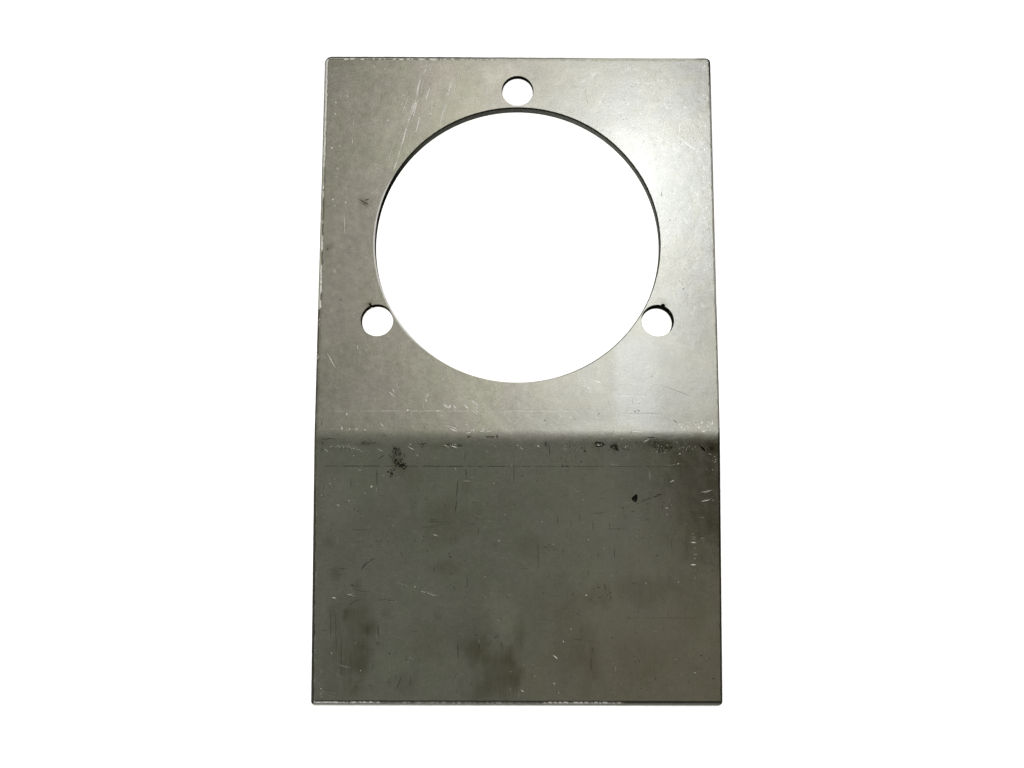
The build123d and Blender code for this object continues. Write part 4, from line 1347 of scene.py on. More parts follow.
# ---- marks on a face ------------------------------------------------------------
def free(x, s, margin):
    """True where a mark may go: on the face, clear of its edges and holes."""
    ok = (x > -HALF_W + 1.95 + margin * 0.3) & (x < HALF_W - 1.25 - margin * 0.3)
    ok &= (s > S_START + 1.95 + margin * 0.3) & (s < S_END - 2.05 - margin * 0.3)
    ok &= np.hypot(x, s - PILOT_S) > PILOT_R + 0.32 + margin
    for cx, cs, notch in BOLTS:
        ok &= np.hypot(x - cx, s - cs) > BOLT_R + 0.12 + margin
        if notch:
            a = math.radians(notch[0])
            tx, ts = cx + (BOLT_R + notch[2] * 0.5) * math.cos(a), cs + (BOLT_R + notch[2] * 0.5) * math.sin(a)
            ok &= np.hypot(x - tx, s - ts) > 0.75 + margin
    return ok


class Mark:
    """A scratch along a polyline, or a round pit where it has one point."""

    def __init__(self, amount, width, pts, slope=None, taper=True):
        p = np.array(pts, float).reshape(-1, 2)
        self.amount, self.ok = amount, True
        if amount > 0 and p[:, 0].mean() > -4 and p[:, 1].mean() > 1.2:
            slope = 0.012
        self.slope = slope if slope is not None else (0.02 + 0.26 * amount**1.8 if amount > 0 else 0.03)
        if len(p) == 1:
            self.c, self.hw = p, np.array([width / 2 * (0.92 if amount > 0 else 1.05)])
            self.ok = bool(free(p[:, 0], p[:, 1], width).all())
            return
        seg = np.linalg.norm(np.diff(p, axis=0), axis=1)
        total = seg.sum()
        n = max(3, int(total / 0.9) + 1)
        at = np.linspace(0, total, n)
        cs = np.concatenate([[0], np.cumsum(seg)])
        c = np.stack([np.interp(at, cs, p[:, 0]), np.interp(at, cs, p[:, 1])], 1)
        keep = free(c[:, 0], c[:, 1], width)
        if not keep.all():
            runs, best, start = [], (0, 0), None
            for i, k in enumerate(list(keep) + [False]):
                if k and start is None:
                    start = i
                if not k and start is not None:
                    runs.append((start, i))
                    start = None
            if runs:
                best = max(runs, key=lambda r: r[1] - r[0])
            c = c[best[0]:best[1]]
            at = at[best[0]:best[1]]
        if len(c) < 3:
            self.ok = False
            return
        t = np.linspace(0, 1, len(c))
        shape = np.clip(1 - np.abs(2 * t - 1) ** 3.0, 0.12, 1) if taper else np.clip(1 - np.abs(2 * t - 1) ** 16, 0.3, 1)
        self.c, self.hw = c, width / 2 * 0.92 * shape

    def outline(self):
        if len(self.c) == 1:
            k = 7 if self.hw[0] < 0.35 else 9
            a = np.arange(k) / k * 2 * math.pi + self.c[0, 0] * 3.1
            rad = self.hw[0] * (1 + 0.18 * np.sin(3 * a + self.c[0, 1]))
            rim = self.c[0] + np.stack([np.cos(a), np.sin(a)], 1) * rad[:, None]
            return rim, [(i, (i + 1) % k) for i in range(k)], self.c
        d = np.gradient(self.c, axis=0)
        d /= np.maximum(np.linalg.norm(d, axis=1), 1e-9)[:, None]
        g = np.stack([-d[:, 1], d[:, 0]], 1)
        left, right = self.c + g * self.hw[:, None], self.c - g * self.hw[:, None]
        n = len(self.c)
        pts = np.concatenate([left[1:-1], right[1:-1], self.c])
        L, R, C = 0, n - 2, 2 * (n - 2)
        e = [(C + i, C + i + 1) for i in range(n - 1)]
        chain_l = [C] + [L + i for i in range(n - 2)] + [C + n - 1]
        chain_r = [C] + [R + i for i in range(n - 2)] + [C + n - 1]
        e += list(zip(chain_l, chain_l[1:])) + list(zip(chain_r, chain_r[1:]))
        return pts, e, None

    def depth_in(self, p):
        """0 outside, rising to 1 on the centre line."""
        if len(self.c) == 1:
            return np.clip(1 - np.hypot(p[:, 0] - self.c[0, 0], p[:, 1] - self.c[0, 1]) / self.hw[0], 0, 1)
        best = np.zeros(len(p))
        for a, b, wa, wb in zip(self.c, self.c[1:], self.hw, self.hw[1:]):
            ab = b - a
            t = np.clip(((p - a) @ ab) / (ab @ ab), 0, 1)
            q = p - (a + t[:, None] * ab)
            w = wa + (wb - wa) * t
            best = np.maximum(best, 1 - np.hypot(q[:, 0], q[:, 1]) / w)
        return best

    def box(self):
        m = self.hw.max()
        return self.c.min(0) - m, self.c.max(0) + m


class Pit:
    """A deep pit with a drawn rim."""

    def __init__(self, amount, pts, depth, shore):
        self.p, self.amount, self.deep, self.shore = np.array(pts, float), amount, depth, shore
        self.ok = True

    def outline(self):
        p = self.p
        c = p.mean(0)
        inner = c + (p - c) * (1 - self.shore / np.maximum(np.linalg.norm(p - c, axis=1), 1e-6))[:, None]
        n = len(p)
        e = [(i, (i + 1) % n) for i in range(n)] + [(n + i, n + (i + 1) % n) for i in range(n)]
        return np.concatenate([p, inner]), e, np.array([c])

    def depth_in(self, q):
        inside, dist = np.zeros(len(q), bool), np.full(len(q), 1e9)
        n = len(self.p)
        for i in range(n):
            a, b = self.p[i], self.p[(i + 1) % n]
            cond = (a[1] > q[:, 1]) != (b[1] > q[:, 1])
            with np.errstate(divide="ignore", invalid="ignore"):
                xi = (b[0] - a[0]) * (q[:, 1] - a[1]) / (b[1] - a[1]) + a[0]
            inside ^= cond & (q[:, 0] < xi)
            ab = b - a
            t = np.clip(((q - a) @ ab) / (ab @ ab), 0, 1)
            r = q - (a + t[:, None] * ab)
            dist = np.minimum(dist, np.hypot(r[:, 0], r[:, 1]))
        return np.where(inside, np.clip(dist / self.shore, 0, 1), 0.0)

    def box(self):
        return self.p.min(0), self.p.max(0)


def random_marks(count_lines, count_dots, seed, strength, s_from=S_START, s_to=S_END, square=0.0, light=0.58, wide=0.0):
    """Small scratches and dots anywhere; square is the share that runs straight across or along, light the share that is bright."""
    r = np.random.RandomState(seed)
    made = []
    for _ in range(count_lines):
        x, s = r.uniform(-61, 61), r.uniform(s_from + 3, s_to - 3)
        ln = float(np.clip(r.lognormal(0.75, 0.6), 0.7, 9.0)) * (1.0 if s > 0 else 0.6)
        a = r.uniform(0, math.pi) if r.rand() < 0.6 else math.radians(105 + r.normal(0, 12))
        if r.rand() < square:
            a = math.radians(90 * r.randint(2) + r.normal(0, 4))
        bend = r.normal(0, 0.12)
        t = np.linspace(-0.5, 0.5, 4)
        px = x + ln * t * math.cos(a) - bend * ln * (t**2) * math.sin(a)
        ps = s + ln * t * math.sin(a) + bend * ln * (t**2) * math.cos(a)
        amount = r.uniform(0.12, 0.42) * strength * (1 if r.rand() < light else -0.8)
        made.append(Mark(amount, r.uniform(0.10, 0.2) + wide, list(zip(px, ps)), slope=0.07 if amount > 0 else 0.03))
    for _ in range(count_dots):
        x, s = r.uniform(-61, 61), r.uniform(s_from + 3, s_to - 3)
        amount = r.uniform(0.2, 0.55) * strength * (1 if r.rand() < 0.5 else -1)
        made.append(Mark(amount, float(np.clip(r.lognormal(-1.35, 0.35), 0.14, 0.55)), [(x, s)], slope=0.12 if amount > 0 else 0.03))
    return made


def clusters(rows):
    """Groups of specks and short strokes: x, s, reach across, reach along, count, size, stroke length, direction, amount, seed."""
    made = []
    for x, s, rx, rs, count, size, length, direc, amount, seed in rows:
        r = np.random.RandomState(int(seed))
        for _ in range(int(count)):
            u, v = np.clip(r.normal(0, 0.5, 2), -1.1, 1.1)
            px, ps, wd = x + u * rx, s + v * rs, size * r.uniform(0.6, 1.4)
            a = amount * r.uniform(0.6, 1.0)
            if length > 0 and r.rand() < 0.7:
                ang, ln = math.radians(direc + r.normal(0, 25)), length * r.uniform(0.5, 1.4) / 2
                k = r.uniform(-0.15, 0.15) * ln
                c, n = (math.cos(ang), math.sin(ang)), (-math.sin(ang), math.cos(ang))
                made.append(Mark(a, wd * 0.8, [(px - c[0] * ln, ps - c[1] * ln), (px + n[0] * k, ps + n[1] * k), (px + c[0] * ln, ps + c[1] * ln)]))
            else:
                made.append(Mark(a, wd, [(px, ps)]))
    return made


def mesh_face(outer, inner_rings, marks, grid, top, lines):
    """Triangulates one face of the plate with its marks cut into it."""
    xs, ss = np.concatenate(store.cols["x"]), np.concatenate(store.cols["s"])
    pts, edges, own = [], [], []

    def put(p, idx=-1):
        pts.append((float(p[0]), float(p[1])))
        own.append(idx)
        return len(pts) - 1

    for ring in [outer] + inner_rings:
        ids = [put((xs[i], ss[i]), int(i)) for i in ring]
        edges += list(zip(ids, ids[1:] + ids[:1]))
    n_ring = len(pts)
    ring_p = np.array(pts)
    for s in LINES_S:
        on = [i for i in range(len(outer)) if abs(ring_p[i, 1] - s) < 1e-6]
        left, right = min(on, key=lambda i: ring_p[i, 0]), max(on, key=lambda i: ring_p[i, 0])
        x = np.linspace(ring_p[left, 0], ring_p[right, 0], 64)[1:-1]
        ids = [left] + [put((v, s)) for v in x] + [right]
        edges += list(zip(ids, ids[1:]))
    marks = [m for m in marks if m.ok]
    for m in marks:
        p, e, extra = m.outline()
        base = len(pts)
        for q in p:
            put(q)
        edges += [(base + a, base + b) for a, b in e]
        if extra is not None:
            for q in extra:
                put(q)
    gx, gs = np.meshgrid(np.arange(-HALF_W + 2, HALF_W - 2, grid), np.arange(S_START + 2, S_END - 2, grid))
    gx, gs = gx.ravel(), gs.ravel()
    r = np.random.RandomState(5 if top else 6)
    gx, gs = gx + r.uniform(-0.3, 0.3, len(gx)) * grid, gs + r.uniform(-0.3, 0.3, len(gs)) * grid
    ok = free(gx, gs, 0.5)
    for s in LINES_S:
        ok &= np.abs(gs - s) > 0.3
    gx, gs = gx[ok], gs[ok]
    for x, s in zip(gx, gs):
        put((x, s))
    v, _, f, orig, _, _ = delaunay_2d_cdt([Vector(p) for p in pts], edges, [], 0, 1e-6, True)
    v = np.array([tuple(p) for p in v])
    f = np.array([t for t in f if len(t) == 3])
    cen = v[f].mean(1)
    # inside the outline and outside the holes
    ring_r = ring_p[:len(outer)]
    ok = inside_ring(cen, ring_r)
    start = len(outer)
    for ring in inner_rings:
        ok &= ~inside_ring(cen, ring_p[start:start + len(ring)])
        start += len(ring)
    f, cen = f[ok], cen[ok]
    height = np.zeros(len(v))
    bright, dark, groove = np.zeros(len(f)), np.zeros(len(f)), np.zeros(len(f), bool)
    for m in marks:
        lo, hi = m.box()
        sel = np.nonzero(((v >= lo - 1e-6) & (v <= hi + 1e-6)).all(1))[0]
        if len(sel):
            u = m.depth_in(v[sel])
            deep = m.deep if isinstance(m, Pit) else m.slope * m.hw.max()
            height[sel] = np.maximum(height[sel], deep * u)
        sel = np.nonzero(((cen >= lo) & (cen <= hi)).all(1))[0]
        if len(sel):
            u = m.depth_in(cen[sel])
            hit = sel[u > 0.03]
            groove[hit] = True
            if m.amount > 0:
                bright[hit] = np.maximum(bright[hit], m.amount)
            else:
                dark[hit] = np.maximum(dark[hit], -m.amount)
    # ring vertices keep their own; the rest are new
    new = np.full(len(v), -1)
    used = np.zeros(len(v), bool)
    used[f.ravel()] = True
    for i, o in enumerate(orig):
        k = [own[j] for j in o if own[j] >= 0]
        if k:
            new[i] = k[0]
    fresh_metal_and_highlight = np.nonzero((new < 0) & used)[0]
    d = height[fresh_metal_and_highlight] if top else THICK - height[fresh_metal_and_highlight]
    ids = store.add(v[fresh_metal_and_highlight, 0], v[fresh_metal_and_highlight, 1], d, nx=0.0, ns=0.0, nd=1.0 if top else -1.0, face=1.0 if top else -1.0)
    new[fresh_metal_and_highlight] = ids
    f = new[f]
    if not top:
        f = f[:, ::-1]
    store.poly(f, flat=groove, bright=bright, dark=dark)
    return len(f), len(marks)


def inside_ring(p, ring):
    inside = np.zeros(len(p), bool)
    a, b = ring, np.roll(ring, -1, 0)
    for (x0, y0), (x1, y1) in zip(a, b):
        if y0 == y1:
            continue
        lo, hi = (y0, y1) if y0 < y1 else (y1, y0)
        sel = (p[:, 1] >= lo) & (p[:, 1] < hi)
        if sel.any():
            xi = (x1 - x0) * (p[sel, 1] - y0) / (y1 - y0) + x0
            inside[sel] ^= p[sel, 0] < xi
    return inside


top_marks = [Mark(m[0], abs(m[1]), m[2:], taper=m[1] > 0) for m in MARKS]
top_marks += [Mark(a * (0.5 if a > 0 else 1.0), w * 0.85, [(x0, s), ((x0 + x1) / 2, s + 0.02), (x1, s)], slope=0.03, taper=False) for a, w, x0, x1, s in DIE_LINES]
top_marks.append(Pit(-1.0, PIT, 0.45, 0.22))
top_marks += clusters(CLUSTERS)
top_marks += random_marks(230, 230, 11, 0.85)
top_marks += random_marks(260, 190, 14, 0.8, 4.0, S_END, 0.1, 0.85)
top_marks += random_marks(200, 70, 12, 1.9, S_START, -2.0, 0.75, 0.2, 0.07)
n_top = mesh_face(outer_top, [h[0] for h in holes], top_marks, 1.7, True, LINES_S)
n_under = mesh_face(outer_bottom, [h[1] for h in holes], random_marks(110, 90, 23, 1.2), 3.2, False, LINES_S)
print("faces top", n_top, "under", n_under, "vertices", store.n, "polygons", len(store.polys))

# ---- attributes worked out per vertex ---------------------------------------------
col = {k: np.concatenate(v) for k, v in store.cols.items()}
X, S, D = col["x"], col["s"], col["d"]
co = place(X, S, D)
normal = turn(S, col["nx"], col["ns"], col["nd"])

dark_stain, brown_stain = np.zeros(len(X)), np.zeros(len(X))
on_top = (D < 1.0).astype(float)
for x, s, rx, rs, rot, da, br in STAINS:
    a = math.radians(-rot)
    dx, ds = X - x, S - s
    u, v = (dx * math.cos(a) + ds * math.sin(a)) / rx, (-dx * math.sin(a) + ds * math.cos(a)) / rs
    rho = np.hypot(u, v) * (1 + 1.1 * (fractal(X * 0.40, S * 0.22, 31, 3) - 0.5)) + 0.35 * (fractal(X * 1.0, S * 0.5, 32, 2) - 0.5)
    k = 1 - smooth(0.50, 1.35, rho)
    dark_stain += da * k * on_top
    brown_stain += br * k * on_top
dark_stain, brown_stain = np.clip(dark_stain, -0.6, 1.2), np.clip(brown_stain, 0, 1)

mesh = bpy.data.meshes.new("bracket_plate_looks")
mesh.from_pydata(co.tolist(), [], store.polys)
mesh.update()


def attribute(name, kind, domain, values, field):
    made = mesh.attributes.new(name, kind, domain)
    made.data.foreach_set(field, np.asarray(values, np.float32).ravel())


side_code = np.where(D > THICK / 2, 60.0, 0.0)
attribute("plate_at", "FLOAT_VECTOR", "POINT", np.stack([X, S, side_code], 1), "vector")
attribute("wall_at", "FLOAT_VECTOR", "POINT", np.stack([col["along"], D, col["wall"]], 1), "vector")
# edge roll-over and hole rims: painted highlight, painted shade and a colour code, over real nicks and wear
attribute("edge_wear_and_painted_light", "FLOAT_VECTOR", "POINT", np.stack([col["eb"], col["ed"], col["er"]], 1), "vector")
attribute("stain", "FLOAT_VECTOR", "POINT", np.stack([dark_stain, brown_stain, on_top], 1), "vector")

loop_total = np.array([len(p) for p in store.polys])
mk = np.repeat(np.array(store.mk, float), loop_total, axis=0)
attribute("face_mark", "FLOAT_VECTOR", "CORNER", np.concatenate([mk, np.zeros((len(mk), 1))], 1), "vector")

# ---- normals: true to the plate on plain faces, crisp inside the scratches ---------
loops_v = np.zeros(len(mesh.loops), np.int32)
mesh.loops.foreach_get("vertex_index", loops_v)
poly_n = np.zeros(len(mesh.polygons) * 3)
mesh.polygons.foreach_get("normal", poly_n)
poly_n = poly_n.reshape(-1, 3)
flat_loop = np.repeat(np.array(store.flat, bool), loop_total)
loop_n = np.where(flat_loop[:, None], np.repeat(poly_n, loop_total, axis=0), normal[loops_v])
mesh.polygons.foreach_set("use_smooth", [True] * len(mesh.polygons))
mesh.normals_split_custom_set([tuple(n) for n in loop_n])
mesh.update()

plate = bpy.data.objects.new("bracket_plate_finish", mesh)
bpy.context.scene.collection.objects.link(plate)


# ---- material ----------------------------------------------------------------------
class Graph:
    def __init__(self, tree):
        self.t = tree
        self.col = 0

    def new(self, kind, **props):
        n = self.t.nodes.new(kind)
        for k, v in props.items():
            setattr(n, k, v)
        self.col += 1
        n.location = ((self.col % 12) * 180, -(self.col // 12) * 220)
        return n

    def link(self, a, b):
        self.t.links.new(a, b)

    def val(self, sock, v):
        if hasattr(v, "is_linked") or isinstance(v, bpy.types.NodeSocket):
            self.link(v, sock)
        else:
            sock.default_value = v

    def m(self, op, a, b=None, c=None, clamp=False):
        n = self.new("ShaderNodeMath", operation=op, use_clamp=clamp)
        for i, v in enumerate((a, b, c)):
            if v is not None:
                self.val(n.inputs[i], v)
        return n.outputs[0]

    def add(self, a, b):
        return self.m("ADD", a, b)

    def mul(self, a, b):
        return self.m("MULTIPLY", a, b)

    def mad(self, a, k, c):
        return self.m("MULTIPLY_ADD", a, k, c)

    def step(self, v, a, b, lo=0.0, hi=1.0):
        n = self.new("ShaderNodeMapRange", interpolation_type="SMOOTHSTEP")
        self.val(n.inputs["Value"], v)
        for k, w in (("From Min", a), ("From Max", b), ("To Min", lo), ("To Max", hi)):
            n.inputs[k].default_value = w
        return n.outputs["Result"]

    def mix(self, f, a, b):
        n = self.new("ShaderNodeMix", data_type="RGBA", blend_type="MIX", clamp_factor=True)
        self.val(n.inputs[0], f)
        for sock, v in ((n.inputs[6], a), (n.inputs[7], b)):
            self.val(sock, (*v, 1.0) if isinstance(v, tuple) else v)
        return n.outputs[2]

    def tint(self, colour, k):
        """colour times a scalar"""
        n = self.new("ShaderNodeVectorMath", operation="SCALE")
        self.link(colour, n.inputs[0])
        self.val(n.inputs["Scale"], k)
        return n.outputs[0]

    def shade(self, colour, by):
        """colour times a fixed colour"""
        n = self.new("ShaderNodeVectorMath", operation="MULTIPLY")
        self.link(colour, n.inputs[0])
        n.inputs[1].default_value = by
        return n.outputs[0]

    def noise(self, vec, scale, detail=2.0, rough=0.5, distort=0.0):
        n = self.new("ShaderNodeTexNoise", noise_dimensions="3D")
        self.link(vec, n.inputs["Vector"])
        n.inputs["Scale"].default_value = scale
        n.inputs["Detail"].default_value = detail
        n.inputs["Roughness"].default_value = rough
        n.inputs["Distortion"].default_value = distort
        return n.outputs[0]

    def warp(self, vec, scale, rot=0.0, shift=(0.0, 0.0, 0.0)):
        n = self.new("ShaderNodeMapping")
        self.link(vec, n.inputs["Vector"])
        n.inputs["Scale"].default_value = scale
        n.inputs["Rotation"].default_value = (0.0, 0.0, math.radians(rot))
        n.inputs["Location"].default_value = shift
        return n.outputs[0]

    def attr(self, name):
        n = self.new("ShaderNodeAttribute", attribute_type="GEOMETRY", attribute_name=name)
        s = self.new("ShaderNodeSeparateXYZ")
        self.link(n.outputs["Vector"], s.inputs[0])
        return n.outputs["Vector"], s.outputs[0], s.outputs[1], s.outputs[2]


steel = bpy.data.materials.new("mill_steel_plate")
steel.use_nodes = True
nt = steel.node_tree
nt.nodes.clear()
g = Graph(nt)
bsdf = g.new("ShaderNodeBsdfPrincipled")
outn = g.new("ShaderNodeOutputMaterial")
g.link(bsdf.outputs[0], outn.inputs["Surface"])

P, px, ps, pside = g.attr("plate_at")
W, w_along, w_depth, w_wall = g.attr("wall_at")
_, e_bright, e_dark, e_soot_shade_glow = g.attr("edge_wear_and_painted_light")
_, f_bright, f_dark, _u = g.attr("face_mark")
_, s_dark, s_brown, s_top = g.attr("stain")

n_big = g.noise(P, 1 / 22.0, 3.0, 0.55)
n_cloud = g.noise(P, 1 / 7.0, 3.0, 0.6, 0.6)
n_mid = g.noise(P, 1 / 2.2, 3.0, 0.58, 0.35)
n_fine = g.noise(P, 1 / 0.75, 2.0, 0.6)
n_grain = g.noise(g.warp(P, (1 / 0.42, 1 / 0.55, 1.0)), 1.0, 2.0, 0.6)
n_roll = g.noise(g.warp(P, (1 / 5.0, 1 / 55.0, 1.0), 4.0), 1.0, 2.0, 0.5)
# hairlines in three directions: long thin noise cells, thresholded
hair = []
for rot, sx, sy, lo, hi, sh in ((14.0, 1 / 0.22, 1 / 9.0, 0.66, 0.76, 3.0), (-38.0, 1 / 0.2, 1 / 6.0, 0.68, 0.78, 11.0), (78.0, 1 / 0.22, 1 / 7.0, 0.69, 0.79, 29.0)):
    hair.append(g.step(g.noise(g.warp(P, (sx, sy, 1.0), rot, (sh, sh, sh)), 1.0, 1.0, 0.5), lo, hi))
hairs = g.m("MAXIMUM", g.m("MAXIMUM", hair[0], hair[1]), hair[2])
hair_patch = g.step(g.noise(P, 1 / 16.0, 2.0, 0.5), 0.42, 0.62)
hairs = g.mul(hairs, hair_patch)

# face tone
tone = g.mad(n_big, 0.22, 0.89)
tone = g.add(tone, g.mad(g.m("MAXIMUM", g.mul(s_dark, -1.0), 0.0), 0.5, 0.0))
calm = g.mul(g.step(px, -6.0, 18.0), g.step(ps, 0.0, 6.0))
quiet = g.mul(g.step(ps, -1.0, 3.0, 0.62, 1.0), g.mad(calm, -0.42, 1.0))
tone = g.add(tone, g.mul(g.mad(n_cloud, 0.26, -0.13), quiet))
tone = g.add(tone, g.mul(g.mad(n_mid, 0.36, -0.18), quiet))
tone = g.add(tone, g.mad(n_fine, 0.30, -0.15))
tone = g.add(tone, g.mad(n_grain, 0.08, -0.04))
tone = g.add(tone, g.mul(hairs, g.mad(calm, 0.05, 0.055)))
n_hue = g.noise(g.warp(P, (1.0, 1.0, 1.0), 0.0, (91.0, 37.0, 5.0)), 1 / 15.0, 3.0, 0.55, 0.6)
hue_k = g.step(n_hue, 0.40, 0.58)
face = g.mix(hue_k, (0.574, 0.574, 0.436), (0.592, 0.571, 0.468))
face = g.mix(g.mul(g.step(px, -14.0, 14.0), g.step(ps, -1.0, 4.0)), face, g.mix(hue_k, (0.583, 0.577, 0.464), (0.572, 0.574, 0.484)))
face = g.mix(g.mul(n_roll, 0.5), face, (0.572, 0.562, 0.452))
# painted reflection: a lighter, cooler strip up the motor leg
n_reflection_strip = g.noise(g.warp(P, (1 / 30.0, 1 / 6.0, 1.0)), 1.0, 2.0, 0.5)
reflection_strip_x = g.add(px, g.mad(n_reflection_strip, 1.6, -0.8))
reflection_strip = g.mul(g.step(reflection_strip_x, 29.4, 32.4), g.step(reflection_strip_x, 46.0, 40.6))
reflection_strip = g.mul(g.mul(reflection_strip, g.step(ps, 2.5, 6.0)), g.mul(s_top, g.m("MAXIMUM", g.step(ps, 37.0, 28.0), g.mul(g.mul(g.step(ps, 66.0, 78.0), g.step(ps, 112.0, 98.0)), 0.45))))
tone = g.add(tone, g.mul(reflection_strip, 0.11))
face = g.mix(g.mul(reflection_strip, 0.8), face, (0.568, 0.576, 0.494))
face = g.tint(face, tone)
# smudges: broken up by noise, so that their edges feather
n_wipe = g.noise(g.warp(P, (1 / 0.9, 1 / 9.0, 1.0), -3.0, (7.0, 3.0, 1.0)), 1.0, 3.0, 0.6, 0.3)
broken = g.add(g.mul(n_cloud, 0.75), g.mul(g.step(n_wipe, 0.25, 0.72), 0.46))
s_d = g.mul(s_dark, g.add(broken, 0.40))
s_b = g.mul(s_brown, g.add(broken, 0.40))
face = g.mix(g.mul(s_d, 0.62), face, (0.232, 0.225, 0.112))
face = g.mix(g.mul(s_b, 0.55), face, (0.330, 0.275, 0.200))
# fine dark specks of scale
n_speck = g.noise(P, 1 / 0.55, 1.0, 0.5)
speck = g.mul(g.step(n_speck, 0.70, 0.80), g.step(n_cloud, 0.45, 0.65))
face = g.mix(g.mul(speck, 0.45), face, (0.16, 0.15, 0.12))

# cut wall: laser oxide with fine drag lines that lean and roughen with depth; painted shade turns its top and parts of
# the hole walls near black, painted light turns the lower bolt-hole walls near white
Wv = g.warp(W, (1 / 0.16, 1 / 2.2, 0.0))
n_drag = g.noise(Wv, 1.0, 3.0, 0.65, 0.4)
n_drag2 = g.noise(g.warp(W, (1 / 0.45, 1 / 5.0, 0.0)), 1.0, 2.0, 0.5)
n_wall = g.noise(g.warp(W, (1 / 3.0, 1 / 1.5, 0.0)), 1.0, 3.0, 0.6)
wall_c = g.mix(g.step(n_drag, 0.35, 0.7), (0.046, 0.047, 0.042), (0.120, 0.124, 0.114))
wall_c = g.mix(g.mul(g.step(n_wall, 0.5, 0.75), 0.4), wall_c, (0.150, 0.155, 0.144))
wall_c = g.tint(wall_c, g.step(px, -10.0, 30.0, 0.9, 1.5))
wall_c = g.mix(g.mul(g.step(w_depth, 7.0, 9.4), 0.35), wall_c, (0.16, 0.165, 0.155))
# painted shade: the top of every cut wall goes near black
wall_c = g.mix(g.step(w_depth, 0.7, 1.8), (0.006, 0.006, 0.005), wall_c)
# third value of the edge paint: positive paints the wall near black as soot and shade and greys the bottom edge's
# painted highlight; negative paints the wall near white as painted light and marks the cream painted highlights
soot_shade_grey_edge = g.m("MAXIMUM", e_soot_shade_glow, 0.0)
painted_highlight = g.m("MAXIMUM", g.mul(e_soot_shade_glow, -1.0), 0.0)
wall_c = g.mix(soot_shade_grey_edge, wall_c, (0.008, 0.008, 0.007))
wall_c = g.mix(painted_highlight, wall_c, (0.96, 0.96, 0.95))

# bright and dark shares: real scratches and marks on the faces, painted highlight and painted shade on the edges and
# hole rims
bright = g.m("MAXIMUM", f_bright, e_bright)
dark = g.m("MAXIMUM", f_dark, e_dark)
left_leg = g.mul(g.step(ps, 5.0, 9.0), g.step(px, 6.0, -14.0))
# a fresh scratch on the motor leg, and the cream lines of painted highlight on the edges and pilot rim, are rough
# enough to scatter like paint
scatter = g.m("MAXIMUM", g.mul(g.mul(f_bright, left_leg), 1.0), g.mul(g.mul(e_bright, painted_highlight), g.m("SUBTRACT", 1.0, w_wall)))
g.link(g.m("SUBTRACT", 1.0, scatter), bsdf.inputs["Metallic"])
bsdf.inputs["Specular IOR Level"].default_value = 0.3
fresh_metal_and_highlight = g.mix(g.m("MAXIMUM", painted_highlight, g.m("MULTIPLY", f_bright, left_leg)), (0.93, 0.905, 0.80), (1.0, 0.985, 0.90))
# the bright share is cream, and neutral grey on the bottom edge's painted highlight
base = g.mix(bright, face, g.mix(soot_shade_grey_edge, fresh_metal_and_highlight, (0.90, 0.90, 0.90)))
base = g.mix(g.mul(dark, 0.97), base, (0.020, 0.018, 0.013))
base = g.mix(w_wall, base, wall_c)
g.link(base, bsdf.inputs["Base Color"])
rough_wall = g.m("SUBTRACT", w_wall, g.mul(w_wall, painted_highlight))
# painted shade also takes the reflection off the dark edge lines and the near-black walls
edge_tint = g.mix(rough_wall, (1.0, 1.0, 1.0), (0.40, 0.40, 0.37))
g.link(g.mix(g.m("MAXIMUM", dark, g.mul(soot_shade_grey_edge, w_wall)), edge_tint, (0.06, 0.055, 0.045)), bsdf.inputs["Specular Tint"])

rough = g.mad(n_mid, 0.06, 0.145)
rough = g.add(rough, g.mad(n_fine, 0.04, -0.02))
rough = g.add(rough, g.mul(s_d, -0.01))
spread = g.m("MAXIMUM", g.step(px, 6.0, -14.0), g.step(ps, 2.0, 0.0))
rough = g.add(rough, g.mul(g.mul(g.mul(bright, bright), 0.26), g.mad(spread, 0.92, 0.08)))
rough = g.add(rough, g.mul(rough_wall, 0.33))
g.link(rough, bsdf.inputs["Roughness"])

# surface relief in millimetres, turned to metres by the bump distance
relief = g.mul(n_fine, 0.0035)
relief = g.add(relief, g.mul(n_mid, 0.006))
relief = g.add(relief, g.mul(n_cloud, g.mad(calm, -0.007, 0.012)))
relief = g.add(relief, g.mul(n_big, g.mad(calm, -0.04, 0.10)))
relief = g.add(relief, g.mul(n_grain, 0.0025))
relief = g.add(relief, g.mul(hairs, -0.0015))
plate_relief = g.mul(relief, g.m("SUBTRACT", 1.0, w_wall))
wall_relief = g.mul(g.add(g.mul(n_drag, 0.05), g.mul(n_drag2, 0.06)), w_wall)
bump = g.new("ShaderNodeBump")
bump.inputs["Strength"].default_value = 1.0
bump.inputs["Distance"].default_value = 0.001
g.link(g.add(plate_relief, wall_relief), bump.inputs["Height"])
g.link(bump.outputs[0], bsdf.inputs["Normal"])

plate.data.materials.append(steel)
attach(plate, "root")
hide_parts("bracket_plate")

# ---- floor --------------------------------------------------------------------------
fm = bpy.data.meshes.new("floor")
ring = [(2.6 * math.cos(a), 2.6 * math.sin(a), -0.00003) for a in np.linspace(0, 2 * math.pi, 96, endpoint=False)]
fm.from_pydata(ring, [], [tuple(range(96))])
floor = bpy.data.objects.new("floor", fm)
bpy.context.scene.collection.objects.link(floor)
fmat = bpy.data.materials.new("floor_white")
fmat.use_nodes = True
fb = fmat.node_tree.nodes["Principled BSDF"]
fb.inputs["Base Color"].default_value = (0.90, 0.90, 0.90, 1.0)
fb.inputs["Roughness"].default_value = 0.9
fb.inputs["Specular IOR Level"].default_value = 0.0
fb.inputs["Emission Color"].default_value = (1.0, 1.0, 1.0, 1.0)
fb.inputs["Emission Strength"].default_value = 0.75
fm.materials.append(fmat)

